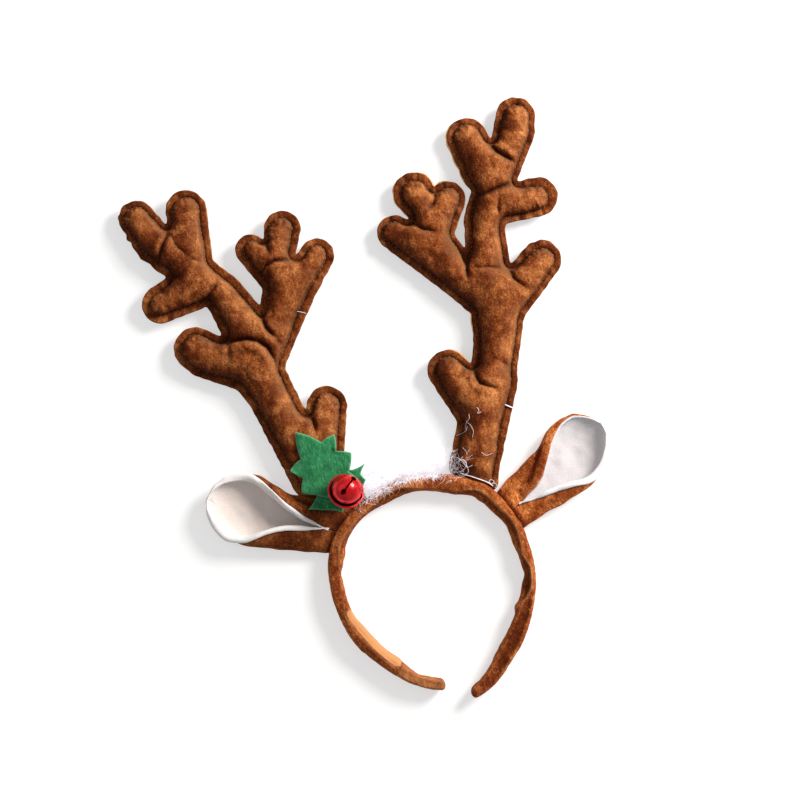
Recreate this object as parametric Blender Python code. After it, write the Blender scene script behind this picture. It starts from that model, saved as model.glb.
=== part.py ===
"""Reindeer antler headband, lying on its back on a surface.

Padded velvet antlers and folded ears stand on a velvet-sleeved head band, with two felt holly
leaves, a jingle bell and a white fluffy trim. Sizes are in millimetres and become metres when
a mesh is made. While the shapes are worked out, the middle of the band's loop is at x = y = 0,
the antlers point to +Y and the surface is z = 0. The last step moves the whole headband so that
the middle of its footprint is the origin.
"""

import math

import bmesh
import bpy
import numpy as np
from mathutils import Matrix, Vector
from mathutils.geometry import delaunay_2d_cdt

MM = 0.001
GAP = 0.3  # clearance between pieces that are sewn together
TINY = 1e-6
MERGE_DISTANCE = 1e-3

# Head band: radii of its inner and outer edge, by angle from +Y towards +X
BAND_DEPTH = 13.0
BAND_SIDES = 12
BAND_STEP = 7.0
BAND_SQUARENESS = 3.2
BAND_END_ROUNDING = 5.0
BAND_END_ROWS = (1.0, 0.72, 0.3)  # shares of the rounding where its sections stand
BAND_END_TAPER = 0.86
BAND_ROWS = (
    # angle, inner, outer
    (-174.0, 60.8, 68.6),
    (-160.0, 58.0, 66.2),
    (-146.0, 53.8, 63.0),
    (-128.0, 50.9, 61.7),
    (-110.0, 51.5, 63.3),
    (-92.0, 55.3, 64.4),
    (-74.0, 58.7, 68.0),
    (-60.0, 61.0, 71.3),
    (-46.0, 64.0, 73.5),
    (-32.0, 65.0, 73.5),
    (-16.0, 63.0, 73.0),
    (0.0, 64.6, 74.4),
    (16.0, 63.4, 75.0),
    (28.0, 63.6, 76.5),
    (40.0, 66.6, 77.5),
    (52.0, 63.8, 75.8),
    (64.0, 64.0, 73.6),
    (76.0, 61.7, 71.6),
    (94.0, 60.6, 69.0),
    (112.0, 58.5, 68.6),
    (130.0, 57.2, 69.0),
    (146.0, 59.6, 71.6),
    (160.0, 65.7, 76.2),
    (173.6, 71.9, 78.3),
)

# Antlers: tapered limbs, each from one round end to the other, seam allowance included
ANTLER_MIDDLE = 7.6  # height of the seam above the surface
FLANGE_WIDTH = 3.3
FLANGE_HALF = 0.8  # half of the two cloths' thickness
PAD_SHARE = 0.72  # height of a limb's padding for its half width
LIMB_BLEND = 2.0
CREASE_HALF = 2.2
OUTLINE_STEP = 7.5
PAD_STEP = 10.0
SEAM_RISE = 2.8  # from the seam to the row where the padding is full
PLAN_CELL = 1.0
PLAN_MARGIN = 22.0
BAND_MARGIN = 2.0  # inner rows of the antlers stop this far from the band
LEFT_LIMBS = (
    # name, x, y, radius, x, y, radius
    ("base", -55.5, 88.5, 16.5, -37.5, 67.0, 10.0),
    ("stem_low", -55.5, 88.5, 16.5, -76.0, 159.0, 14.5),
    ("stem_mid", -76.0, 159.0, 14.5, -79.0, 185.0, 15.0),
    ("stem_high", -79.0, 185.0, 15.0, -87.5, 222.5, 14.0),
    ("stem_top", -87.5, 222.5, 14.0, -101.0, 246.5, 14.0),
    ("tip_outer", -114.0, 253.0, 14.5, -130.0, 284.0, 11.5),
    ("tip_inner", -103.5, 247.5, 14.0, -96.5, 280.5, 13.5),
    ("tine_high", -99.0, 228.5, 12.0, -128.0, 226.0, 13.0),
    ("tine_mid", -78.5, 170.5, 16.0, -114.0, 191.5, 13.0),
    ("branch", -66.5, 175.0, 12.0, -46.0, 214.0, 15.0),
    ("branch_left", -46.5, 226.0, 13.0, -61.5, 245.5, 10.0),
    ("branch_tip", -45.5, 229.0, 10.0, -38.5, 254.5, 12.0),
    ("branch_right", -42.0, 213.0, 13.0, -20.0, 231.5, 11.0),
    ("tine_low", -51.5, 93.0, 13.0, -38.5, 132.0, 13.0),
)
RIGHT_LIMBS = (
    # name, x, y, radius, x, y, radius
    ("base", 48.0, 72.5, 17.0, 49.5, 61.0, 10.5),
    ("stem_low", 48.0, 72.5, 17.0, 70.0, 120.5, 15.5),
    ("stem_mid", 70.0, 120.5, 15.5, 83.5, 158.0, 16.0),
    ("stem_high", 86.0, 167.5, 14.5, 90.0, 214.5, 13.0),
    ("stem_top", 90.0, 214.5, 13.0, 99.5, 247.0, 13.0),
    ("tine_low", 56.5, 97.5, 13.0, 45.0, 136.5, 13.0),
    ("branch", 81.5, 179.5, 14.5, 57.0, 217.0, 14.5),
    ("branch_left", 54.0, 216.0, 14.0, 31.5, 235.0, 9.0),
    ("branch_tip", 56.0, 225.5, 11.0, 51.5, 258.0, 12.0),
    ("branch_right", 58.0, 222.0, 13.0, 73.5, 249.0, 9.0),
    ("tine_high", 100.5, 239.0, 13.0, 130.0, 233.5, 13.0),
    ("tip_inner", 100.0, 251.0, 13.0, 94.5, 284.0, 12.0),
    ("tip_outer", 108.5, 256.0, 14.0, 128.0, 288.5, 12.5),
    ("tine_mid", 93.0, 176.0, 17.0, 122.5, 193.5, 12.0),
)
LEFT_CREASES = (
    # x, y, x, y, depth
    (-114.0, 266.0, -118.0, 242.0, 3.0),
    (-99.5, 247.5, -93.0, 241.5, 1.5),
    (-96.0, 236.0, -98.0, 222.5, 2.0),
    (-90.0, 188.5, -79.0, 187.0, 2.5),
    (-79.0, 187.0, -65.0, 175.5, 3.0),
    (-56.5, 226.0, -38.5, 233.5, 1.8),
    (-52.5, 133.5, -55.0, 117.0, 2.5),
)
RIGHT_CREASES = (
    # x, y, x, y, depth
    (108.5, 270.0, 113.0, 258.0, 2.0),
    (88.0, 247.0, 116.0, 246.5, 2.5),
    (70.5, 198.0, 73.0, 186.0, 2.0),
    (102.0, 186.0, 95.0, 174.0, 1.8),
    (60.5, 126.0, 58.5, 112.0, 2.5),
)
PULL_REACH = 42.0  # the bell's stitches flatten the left antler's padding round it
PULL_SHARE = 0.5

# Ears: each row is a folded section across the ear's axis
EAR_CLOTH = 1.5
LINING_CLOTH = 1.5
LINING_GAP = 0.6
ROLL_RADIUS = 2.1
ROLL_SHARE = 0.2  # of the slit's width
ROLL_OVERHANG = 0.35  # shares of the roll's radius from here on
ROLL_CROWN_PAST, ROLL_CROWN_OUT = 1.2, 0.2
ROLL_INNER_FOOT = 0.7
ROLL_INNER_PAST, ROLL_INNER_OUT = 1.3, 0.4
EAR_ARC_POINTS = 11
EAR_ROOT = -6.0  # along the ear's axis, inside the band's outline
EAR_ROOT_BLEND = 10.0
EAR_ROOT_SEARCH = (-25.0, 30.0)
HALVINGS = 30
LINING_START = 2  # the white cloth starts at this row, where the fold opens
LEFT_EAR = {"root": (-55.4, 53.3), "tip": (-130.7, 92.4), "high_side": -1.0}
RIGHT_EAR = {"root": (68.1, 39.1), "tip": (134.4, 78.2), "high_side": 1.0}
LEFT_EAR_ROWS = (
    # along, low, high, low_turn, high_turn, half_depth, lift
    (EAR_ROOT, 15.0, 8.5, 178.0, 178.0, 4.4, 2.0),
    (2.0, 16.6, 9.5, 176.0, 176.0, 4.9, 1.4),
    (10.0, 17.8, 12.0, 171.0, 170.0, 6.2, 0.4),
    (20.0, 19.3, 14.8, 164.0, 159.0, 7.2, 0.0),
    (32.0, 21.0, 17.0, 156.0, 141.0, 8.0, 0.0),
    (44.0, 22.6, 20.8, 138.0, 125.0, 8.8, 0.0),
    (55.0, 23.4, 24.0, 113.0, 111.0, 9.0, 0.0),
    (64.0, 22.0, 22.8, 96.0, 96.0, 8.6, 0.6),
    (72.0, 18.4, 18.6, 86.0, 86.0, 7.4, 2.2),
    (79.0, 12.0, 12.6, 78.0, 78.0, 5.0, 4.8),
    (83.5, 4.5, 5.0, 70.0, 70.0, 2.6, 7.6),
)
RIGHT_EAR_ROWS = (
    # along, low, high, low_turn, high_turn, half_depth, lift
    (EAR_ROOT, 13.4, 15.5, 177.0, 178.0, 4.4, 2.0),
    (2.0, 15.2, 16.4, 173.0, 178.0, 5.0, 1.4),
    (10.0, 16.9, 17.0, 163.0, 178.0, 6.2, 0.4),
    (18.0, 19.3, 17.1, 154.0, 176.0, 7.2, 0.0),
    (26.0, 21.4, 17.1, 145.0, 168.0, 7.8, 0.0),
    (35.0, 23.4, 17.4, 134.0, 149.0, 8.6, 0.0),
    (45.0, 24.8, 20.8, 114.0, 133.0, 9.0, 0.0),
    (55.0, 22.8, 21.8, 97.0, 122.0, 9.0, 0.2),
    (63.0, 19.0, 20.4, 88.0, 108.0, 8.4, 1.2),
    (69.0, 14.4, 17.2, 82.0, 94.0, 6.6, 3.0),
    (73.5, 9.6, 11.4, 76.0, 80.0, 4.4, 5.2),
    (76.5, 4.5, 5.0, 70.0, 70.0, 2.6, 7.6),
)

# Holly: the corners of each die-cut leaf, tips and notches in turn
FELT = 1.2
LEAF_STEP = 9.0
LEAF_EDGE_STEP = 6.0
LEAF_MARGIN = 3.0
LOWER_LEAF_BASE = 13.5
UPPER_LEAF_BASE = 15.1
UPPER_LEAF = (
    (-62.0, 121.5), (-47.5, 111.0), (-38.0, 114.0), (-39.5, 103.0), (-30.0, 99.5),
    (-34.5, 88.0), (-30.5, 82.0), (-37.0, 77.0), (-38.5, 69.5), (-47.0, 73.5),
    (-59.0, 78.4), (-67.8, 82.1), (-64.5, 91.0), (-71.5, 98.0), (-63.0, 103.5),
)
LOWER_LEAF = (
    (-66.5, 70.0), (-57.5, 67.5), (-45.4, 63.3), (-38.5, 68.0), (-31.0, 70.5),
    (-25.0, 80.0), (-27.5, 84.5), (-23.0, 90.5), (-32.5, 88.5), (-41.0, 95.0),
    (-45.0, 87.0), (-57.0, 86.5), (-58.5, 77.5),
)

# Jingle bell, stitched on the upper leaf and leaning up and to the right
BELL_RADIUS = 11.85
BELL_WALL = 0.8
BELL_RIM_WIDTH = 0.8
BELL_RIM_HALF = 0.7
BELL_SIDES = 24
BELL_ROWS = 13
BELL_CENTRE = (-39.0, 76.5, UPPER_LEAF_BASE + FELT + GAP + BELL_RADIUS)
BELL_LEAN = 12.0
BELL_LEAN_TOWARDS = 50.0  # degrees from +X
BELL_SLOT_TOWARDS = 40.0
BELL_SLOT_WIDTH = 1.4
BELL_HOLE_RADIUS = 1.6
BELL_HOLE_OFFSET = 5.8
BELL_HOLE_SIDES = 12

# White fluff on the band's outer face, between the antlers
FUR_FROM = -18.5
FUR_TO = 19.0
FUR_COLUMNS = 10
FUR_LAYERS = 3
FUR_BACKING = 2.0
FUR_LOW = 2.0
FUR_HIGH = 13.0
FUR_SHORT = 7.0
FUR_LONG = 22.0
FUR_PEAK = 9.0  # angle where the fluff stands highest
FUR_SPREAD = 15.0
FUR_STEPS = ((0.45, 0.85), (0.8, 0.55), (1.0, 0.14))
FUR_LEAN = 0.06
FUR_FAN = 0.35  # how far the lowest and highest layers spread down and up
FUR_SHORTEST = 0.8  # share of the length that every lock has at least
FUR_TIP_FLOOR = 1.2  # no lock's tip is lower than this
FUR_SEED = 7

COLOURS = {
    # name: colour, roughness, metallic
    "brown_velvet": ((0.25, 0.075, 0.02), 0.75, 0.0),
    "white_cloth": ((0.82, 0.79, 0.77), 0.85, 0.0),
    "green_felt": ((0.03, 0.24, 0.08), 0.95, 0.0),
    "red_metal": ((0.55, 0.01, 0.015), 0.25, 0.9),
    "white_fluff": ((0.9, 0.9, 0.93), 0.95, 0.0),
}


def material(name):
    """The named Principled material, made once."""
    found = bpy.data.materials.get(name)
    if found:
        return found
    colour, roughness, metallic = COLOURS[name]
    made = bpy.data.materials.new(name)
    made.use_nodes = True
    shader = made.node_tree.nodes["Principled BSDF"]
    shader.inputs["Base Color"].default_value = (*colour, 1.0)
    shader.inputs["Roughness"].default_value = roughness
    shader.inputs["Metallic"].default_value = metallic
    made.diffuse_color = (*colour, 1.0)
    return made


def add_object(name, points, faces, material_name, sharp_angle=50.0):
    """A smooth-shaded mesh object from points in millimetres."""
    mesh = bpy.data.meshes.new(name)
    mesh.from_pydata((np.asarray(points) * MM).tolist(), [], faces)
    mesh.materials.append(material(material_name))
    mesh.shade_smooth()
    mesh.set_sharp_from_angle(angle=math.radians(sharp_angle))
    made = bpy.data.objects.new(name, mesh)
    bpy.context.collection.objects.link(made)
    return made


def smooth_column(x, stations, values):
    """A smooth curve through one column of a table, read at x."""
    slopes = np.gradient(values, stations)
    low = np.clip(np.searchsorted(stations, x) - 1, 0, len(stations) - 2)
    width = stations[low + 1] - stations[low]
    t = np.clip((x - stations[low]) / width, 0.0, 1.0)
    start = (1 + 2 * t) * (1 - t) ** 2 * values[low] + t * (1 - t) ** 2 * width * slopes[low]
    end = t * t * (3 - 2 * t) * values[low + 1] + t * t * (t - 1) * width * slopes[low + 1]
    return start + end


def loft(rings):
    """A closed body through rings of equal length, with a flat face at each end."""
    count = len(rings[0])
    faces = [tuple(range(count))[::-1]]
    for row in range(len(rings) - 1):
        for k in range(count):
            a = row * count + k
            b = row * count + (k + 1) % count
            faces.append((a, b, b + count, a + count))
    faces.append(tuple((len(rings) - 1) * count + k for k in range(count)))
    return np.concatenate(rings), faces


def sheet_solid(upper, lower):
    """A closed body between two grids of points, closed round their border."""
    rows, columns = upper.shape[:2]
    size = rows * columns
    faces = []
    for row in range(rows - 1):
        for k in range(columns - 1):
            a, b = row * columns + k, row * columns + k + 1
            c, d = b + columns, a + columns
            for triangle in ((a, b, c), (a, c, d)):
                faces.append(triangle)
                faces.append(tuple(size + corner for corner in reversed(triangle)))
    border = [k for k in range(columns)]
    border += [row * columns + columns - 1 for row in range(1, rows)]
    border += [(rows - 1) * columns + k for k in range(columns - 2, -1, -1)]
    border += [row * columns for row in range(rows - 2, 0, -1)]
    for a, b in zip(border, border[1:] + border[:1]):
        faces.append((b, a, a + size, b + size))
    return np.concatenate((upper.reshape(-1, 3), lower.reshape(-1, 3))), faces


def face_outwards(points, faces):
    """Turn every face over if the body's volume comes out negative."""
    volume = 0.0
    for face in faces:
        for k in range(1, len(face) - 1):
            volume += np.dot(points[face[0]], np.cross(points[face[k]], points[face[k + 1]]))
    if volume < 0.0:
        return [tuple(reversed(face)) for face in faces]
    return faces


# Head band


def band_radius(angle, column):
    """Inner (1) or outer (2) radius of the band at an angle in degrees."""
    table = np.array(BAND_ROWS)
    return smooth_column(angle, table[:, 0], table[:, column])


def band_outside(points):
    """How far points of the plan lie outside the band's outer edge."""
    angle = np.degrees(np.arctan2(points[..., 0], points[..., 1]))
    return np.hypot(points[..., 0], points[..., 1]) - band_radius(angle, 2)


def band_section():
    """Rounded rectangle of one half unit each way, with a level lowest side."""
    turn = (np.arange(BAND_SIDES) + 0.5) * 2 * np.pi / BAND_SIDES
    across = np.sign(np.cos(turn)) * np.abs(np.cos(turn)) ** (2 / BAND_SQUARENESS)
    height = np.sign(np.sin(turn)) * np.abs(np.sin(turn)) ** (2 / BAND_SQUARENESS)
    return 0.5 * across / across.max(), 0.5 * height / height.max()


def make_headband():
    first, last = BAND_ROWS[0][0], BAND_ROWS[-1][0]
    mean_radius = np.mean([row[1:] for row in BAND_ROWS])
    length = math.radians(last - first) * mean_radius
    rounding = math.degrees(BAND_END_ROUNDING / mean_radius)
    stations = np.linspace(first + rounding, last - rounding, round(length / BAND_STEP))
    ends = np.array(BAND_END_ROWS) * rounding
    stations = np.concatenate((first + rounding - ends, stations, last - rounding + ends[::-1]))
    across, height = band_section()
    rings = []
    for angle in stations:
        past = max(first + rounding - angle, angle - last + rounding, 0.0) / rounding
        share = math.sqrt(1.0 - (BAND_END_TAPER * past) ** 2)
        inner, outer = band_radius(angle, 1), band_radius(angle, 2)
        radius = (inner + outer) / 2 + across * (outer - inner) * share
        z = np.maximum(BAND_DEPTH * (0.5 + height * share), 0.0)
        turn = math.radians(angle)
        rings.append(np.column_stack((radius * math.sin(turn), radius * math.cos(turn), z)))
    points, faces = loft(rings)
    add_object("headband", points, face_outwards(points, faces), "brown_velvet")


# Antlers


def limb_reach(points, limb):
    """Distance of points from a limb's centre line, and the limb's radius there."""
    start = np.array(limb[1:3])
    run = np.array(limb[4:6]) - start
    t = np.clip((points - start) @ run / (run @ run), 0.0, 1.0)
    distance = np.linalg.norm(points - start - t[..., None] * run, axis=-1)
    return distance, limb[3] + (limb[6] - limb[3]) * t


def smooth_lowest(a, b, blend):
    """The lower of two values, rounded where they meet."""
    h = np.maximum(blend - np.abs(a - b), 0.0) / blend
    return np.minimum(a, b) - h * h * blend / 4


def limbs_inside(points, limbs):
    """Depth of points inside the limbs' joined outline."""
    outside = None
    for limb in limbs:
        distance, radius = limb_reach(points, limb)
        edge = distance - radius
        outside = edge if outside is None else smooth_lowest(outside, edge, LIMB_BLEND)
    return -outside


def antler_field(points, limbs):
    """Positive inside an antler's plan, which stops short of the band."""
    return np.minimum(limbs_inside(points, limbs), band_outside(points) - GAP)


def line_distance(points, start, end):
    """Distance of points from a straight line between two places."""
    run = np.subtract(end, start)
    t = np.clip((points - start) @ run / (run @ run), 0.0, 1.0)
    return np.linalg.norm(points - start - t[..., None] * run, axis=-1)


def line_points(start, end, step):
    """Points at even distances from one place to another."""
    count = max(2, round(math.dist(start, end) / step) + 1)
    return np.linspace(start, end, count)


def pad_height(points, limbs, creases):
    """Height of an antler's padded face above its seam."""
    height = np.zeros(points.shape[:-1])
    for limb in limbs:
        distance, radius = limb_reach(points, limb)
        half = radius - FLANGE_WIDTH
        crown = np.sqrt(np.maximum(1.0 - (distance / half) ** 2, 0.0))
        height = np.maximum(height, PAD_SHARE * half * crown)
    from_bell = np.linalg.norm(points - np.array(BELL_CENTRE[:2]), axis=-1)
    height = height * (1.0 - PULL_SHARE * np.exp(-((from_bell / PULL_REACH) ** 2)))
    for crease in creases:
        away = line_distance(points, crease[0:2], crease[2:4])
        dip = crease[4] * np.exp(-((away / CREASE_HALF) ** 2))
        height = np.where(height > 0.0, np.maximum(height - dip, 0.0), height)
    return FLANGE_HALF + height


def contour(values, origin, step):
    """The longest loop on which a grid of values crosses zero."""

    def cut(a, b):
        share = values[a] / (values[a] - values[b])
        return origin + step * (np.array(a) + share * np.subtract(b, a))

    links = {}
    inside = values > 0.0
    cells = inside[:-1, :-1].astype(int) + inside[1:, :-1] + inside[:-1, 1:] + inside[1:, 1:]
    for i, j in zip(*np.nonzero((cells > 0) & (cells < 4))):
        corners = ((i, j), (i + 1, j), (i + 1, j + 1), (i, j + 1))
        sides = zip(corners, corners[1:] + corners[:1])
        crossed = [tuple(sorted(side)) for side in sides if inside[side[0]] != inside[side[1]]]
        for a, b in zip(crossed[::2], crossed[1::2]):
            links.setdefault(a, []).append(b)
            links.setdefault(b, []).append(a)
    loops = []
    while links:
        start = next(iter(links))
        loop, here = [], start
        while here in links:
            loop.append(here)
            onward = [side for side in links.pop(here) if side in links]
            here = onward[0] if onward else start
        loops.append(loop)
    return np.array([cut(*side) for side in max(loops, key=len)])


def even_points(loop, spacing):
    """Points at even distances along a closed loop."""
    closed = np.vstack((loop, loop[:1]))
    walked = np.concatenate(((0.0,), np.cumsum(np.linalg.norm(np.diff(closed, axis=0), axis=1))))
    count = max(8, round(walked[-1] / spacing))
    places = np.arange(count) * walked[-1] / count
    return np.column_stack([np.interp(places, walked, closed[:, k]) for k in (0, 1)])


def plan_grid(limbs, step):
    """A square grid of places that holds the limbs, with its corner."""
    ends = np.array([limb[1:3] for limb in limbs] + [limb[4:6] for limb in limbs])
    low = ends.min(axis=0) - PLAN_MARGIN
    counts = np.ceil((ends.max(axis=0) + PLAN_MARGIN - low) / step).astype(int)
    i, j = np.meshgrid(np.arange(counts[0]), np.arange(counts[1]), indexing="ij")
    return low + step * np.stack((i, j), axis=-1), low


def triangulate(outline, lines, spots):
    """Triangles inside an outline that keep to inner lines and spots."""
    coords = [Vector(point) for point in outline]
    count = len(coords)
    edges = [(k, (k + 1) % count) for k in range(count)]
    for line in lines:
        base = len(coords)
        coords += [Vector(point) for point in line]
        edges += [(base + k, base + k + 1) for k in range(len(line) - 1)]
    coords += [Vector(spot) for spot in spots]
    result = delaunay_2d_cdt(coords, edges, [list(range(count))], 1, MERGE_DISTANCE)
    return np.array([tuple(point) for point in result[0]]), [tuple(face) for face in result[2]]


def runs_inside(loop, keep):
    """The stretches of a closed loop whose points are kept."""
    if keep.all():
        return [np.vstack((loop, loop[:1]))]
    start = int(np.argmin(keep))
    order = np.roll(np.arange(len(loop)), -start)
    runs, run = [], []
    for k in order:
        if keep[k]:
            run.append(loop[k])
        elif run:
            runs.append(np.array(run))
            run = []
    if run:
        runs.append(np.array(run))
    return [run for run in runs if len(run) > 1]


def two_faced_solid(plan, faces, top, bottom):
    """A closed body between a top and a bottom face that share one plan."""
    count = len(plan)
    sides = []
    shell = []
    for a, b, c in faces:
        (ax, ay), (bx, by), (cx, cy) = plan[a], plan[b], plan[c]
        if (bx - ax) * (cy - ay) - (by - ay) * (cx - ax) < 0.0:
            b, c = c, b
        shell.append((a, b, c))
        shell.append((c + count, b + count, a + count))
        sides += [(a, b), (b, c), (c, a)]
    known = set(sides)
    for a, b in sides:
        if (b, a) not in known:
            shell.append((b, a, a + count, b + count))
    points = np.vstack((np.column_stack((plan, top)), np.column_stack((plan, bottom))))
    return points, shell


def make_antler(name, limbs, creases):
    """Two cloths on one outline, padded inside the seam and flat where it lies."""
    fine_grid, corner = plan_grid(limbs, PLAN_CELL)
    trimmed = antler_field(fine_grid, limbs)
    outline = even_points(contour(trimmed, corner, PLAN_CELL), OUTLINE_STEP)
    whole = limbs_inside(fine_grid, limbs)
    lines = []
    for depth in (FLANGE_WIDTH, FLANGE_WIDTH + SEAM_RISE):
        loop = even_points(contour(whole - depth, corner, PLAN_CELL), OUTLINE_STEP)
        lines += runs_inside(loop, band_outside(loop) > GAP + BAND_MARGIN)
    spines = [(limb[1:3], limb[4:6]) for limb in limbs if limb[0] != "base"]
    inner = spines + [(crease[0:2], crease[2:4]) for crease in creases]
    lines += [line_points(start, end, PAD_STEP) for start, end in inner]
    spots, _ = plan_grid(limbs, PAD_STEP)
    spots[::2, :, 1] += PAD_STEP / 2
    room = np.minimum(limbs_inside(spots, limbs) - SEAM_RISE - FLANGE_WIDTH, band_outside(spots))
    for start, end in inner:
        room = np.minimum(room, line_distance(spots, start, end) - PAD_STEP / 6)
    plan, faces = triangulate(outline, lines, spots[room > PAD_STEP / 4])
    height = pad_height(plan, limbs, creases)
    top = ANTLER_MIDDLE + height
    bottom = np.maximum(ANTLER_MIDDLE - height, 0.0)
    points, shell = two_faced_solid(plan, faces, top, bottom)
    add_object(name, points, shell, "brown_velvet")


# Ears


def ear_frame(ear):
    """Root, direction along the ear and direction to its high side."""
    root = np.array(ear["root"])
    along = np.subtract(ear["tip"], root)
    along = along / np.linalg.norm(along)
    return root, along, np.array((-along[1], along[0])) * ear["high_side"]


def ear_root_start(ear, sideways):
    """Where a line along the ear, this far to one side, leaves the band's face."""
    root, along, across = ear_frame(ear)
    low, high = EAR_ROOT_SEARCH
    for _ in range(HALVINGS):
        middle = (low + high) / 2
        if band_outside(root + along * middle + across * sideways) < GAP:
            low = middle
        else:
            high = middle
    return high


def ear_arc(row, inset):
    """Across and height of one folded section, on a smaller ellipse for an inner face."""
    _, low, high, low_turn, high_turn, half_depth, lift = row
    turn = np.radians(np.linspace(-low_turn, high_turn, EAR_ARC_POINTS))
    width = np.where(turn < 0.0, low, high)
    width = width * np.exp(-inset / width)
    depth = half_depth * math.exp(-inset / half_depth)
    return np.column_stack((width * np.sin(turn), lift + half_depth - depth * np.cos(turn)))


def ear_edges(row):
    """Each edge of the folded section: its index, its place, and the ways past and out of it."""
    back = ear_arc(row, 0.0)
    for end, before, side in ((0, 1, -1.0), (-1, -2, 1.0)):
        up = (back[end] - back[before]) / np.linalg.norm(back[end] - back[before])
        yield end, back[end], up, np.array((up[1], -up[0])) * side


def ear_section(row, inset):
    """A folded section whose edges are cut square to the cloth."""
    section = ear_arc(row, inset)
    for end, edge, _, out in ear_edges(row):
        section[end] = edge - out * inset
    return section


def place_ear_point(ear, along, sideways, height):
    """A point of an ear, whose strips all start on the band's face."""
    root, direction, across = ear_frame(ear)
    if along < EAR_ROOT_BLEND:
        share = (along - EAR_ROOT) / (EAR_ROOT_BLEND - EAR_ROOT)
        start = ear_root_start(ear, sideways)
        along = start + (EAR_ROOT_BLEND - start) * share
    place = root + direction * along + across * sideways
    return (place[0], place[1], height)


def place_ear_rows(ear, rows, sections):
    """Grid of points for sections given as across and height."""
    grid = []
    for row, section in zip(rows, sections):
        grid.append([place_ear_point(ear, row[0], across, height) for across, height in section])
    return np.array(grid)


def make_ear_outer(name, ear, rows):
    """The brown cloth, folded right round at its root."""
    outer = [ear_section(row, 0.0) for row in rows]
    inner = [ear_section(row, EAR_CLOTH) for row in rows]
    points, faces = sheet_solid(place_ear_rows(ear, rows, outer), place_ear_rows(ear, rows, inner))
    add_object(name, points, face_outwards(points, faces), "brown_velvet")


def lining_faces(row):
    """Outer and inner face of the lining's section, with its edges rolled outwards."""
    inset = EAR_CLOTH + LINING_GAP
    outer = ear_section(row, inset)
    inner = ear_section(row, inset + LINING_CLOTH)
    roll = min(ROLL_RADIUS, ROLL_SHARE * (outer[-1][0] - outer[0][0]))
    outer_face, inner_face = list(outer), list(inner)
    for end, edge, up, out in ear_edges(row):
        past = edge + up * LINING_GAP
        outer_roll = [past - out * inset, past + out * ROLL_OVERHANG * roll]
        outer_roll.append(past + (up * ROLL_CROWN_PAST + out * ROLL_CROWN_OUT) * roll)
        inside = past - out * (inset + LINING_CLOTH)
        inner_roll = [inside, inside + up * ROLL_INNER_FOOT * roll]
        inner_roll.append(past + (up * ROLL_INNER_PAST - out * ROLL_INNER_OUT) * roll - out * EAR_CLOTH)
        if end == 0:
            outer_face = outer_roll[::-1] + outer_face
            inner_face = inner_roll[::-1] + inner_face
        else:
            outer_face += outer_roll
            inner_face += inner_roll
    return outer_face, inner_face


def make_ear_lining(name, ear, rows):
    """The white inside, rolled over the brown cloth's edge."""
    rows = rows[LINING_START:]
    pairs = [lining_faces(row) for row in rows]
    outer = place_ear_rows(ear, rows, [pair[0] for pair in pairs])
    inner = place_ear_rows(ear, rows, [pair[1] for pair in pairs])
    points, faces = sheet_solid(outer, inner)
    add_object(name, points, face_outwards(points, faces), "white_cloth")


# Holly and bell


def make_leaf(name, corners, base, clearance):
    """A felt leaf that is level where it is stitched and bends up over the left antler."""
    outline = []
    for start, end in zip(corners, corners[1:] + corners[:1]):
        parts = max(1, round(math.dist(start, end) / LEAF_EDGE_STEP))
        outline += [np.add(start, np.subtract(end, start) * k / parts) for k in range(parts)]
    outline = np.array(outline)
    low, high = outline.min(axis=0), outline.max(axis=0)
    spots = [
        (x, y)
        for x in np.arange(low[0] + LEAF_STEP / 2, high[0], LEAF_STEP)
        for y in np.arange(low[1] + LEAF_STEP / 2, high[1], LEAF_STEP)
        if min(math.dist((x, y), point) for point in outline) > LEAF_MARGIN
    ]
    plan, faces = triangulate(outline, [], spots)
    used = sorted({k for face in faces for k in face})
    plan = plan[used]
    faces = [tuple(used.index(k) for k in face) for face in faces]
    pad = ANTLER_MIDDLE + pad_height(plan, LEFT_LIMBS, ()) + clearance
    bottom = np.maximum(base, np.where(limbs_inside(plan, LEFT_LIMBS) > 0.0, pad, 0.0))
    points, shell = two_faced_solid(plan, faces, bottom + FELT, bottom)
    add_object(name, points, shell, "green_felt", 30.0)


def turned_profile():
    """Half of the bell's section, from its far pole round and back inside."""
    outer = BELL_RADIUS
    inner = BELL_RADIUS - BELL_WALL
    turns = np.radians(np.linspace(-90.0, 90.0, BELL_ROWS))
    profile = []
    for turn in turns:
        if abs(math.sin(turn)) * outer < BELL_RIM_HALF:
            rim = outer + BELL_RIM_WIDTH
            profile += [(rim, -BELL_RIM_HALF), (rim, BELL_RIM_HALF)]
        else:
            profile.append((outer * math.cos(turn), outer * math.sin(turn)))
    shell = [(inner * math.cos(turn), inner * math.sin(turn)) for turn in turns]
    return profile, shell


def turned_body(profile):
    """A closed body of revolution about Z through points of radius and height."""
    points, rings, faces = [], [], []
    for radius, height in profile:
        if radius < TINY:
            rings.append([len(points)])
            points.append((0.0, 0.0, height))
            continue
        rings.append(list(range(len(points), len(points) + BELL_SIDES)))
        for k in range(BELL_SIDES):
            turn = 2 * math.pi * k / BELL_SIDES
            points.append((radius * math.cos(turn), radius * math.sin(turn), height))
    for low, high in zip(rings, rings[1:]):
        for k in range(BELL_SIDES):
            a, b = low[k % len(low)], low[(k + 1) % len(low)]
            c, d = high[(k + 1) % len(high)], high[k % len(high)]
            faces.append(tuple(dict.fromkeys((a, b, c, d))))
    return points, faces


def cut_away(target, cutter):
    """Keep a hidden cutter that an exact Boolean takes out of the target."""
    cutter.hide_render = True
    cutter.display_type = "WIRE"
    cutter.parent = target
    cut = target.modifiers.new("Cut " + cutter.name, "BOOLEAN")
    cut.operation = "DIFFERENCE"
    cut.solver = "EXACT"
    cut.object = cutter


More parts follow.
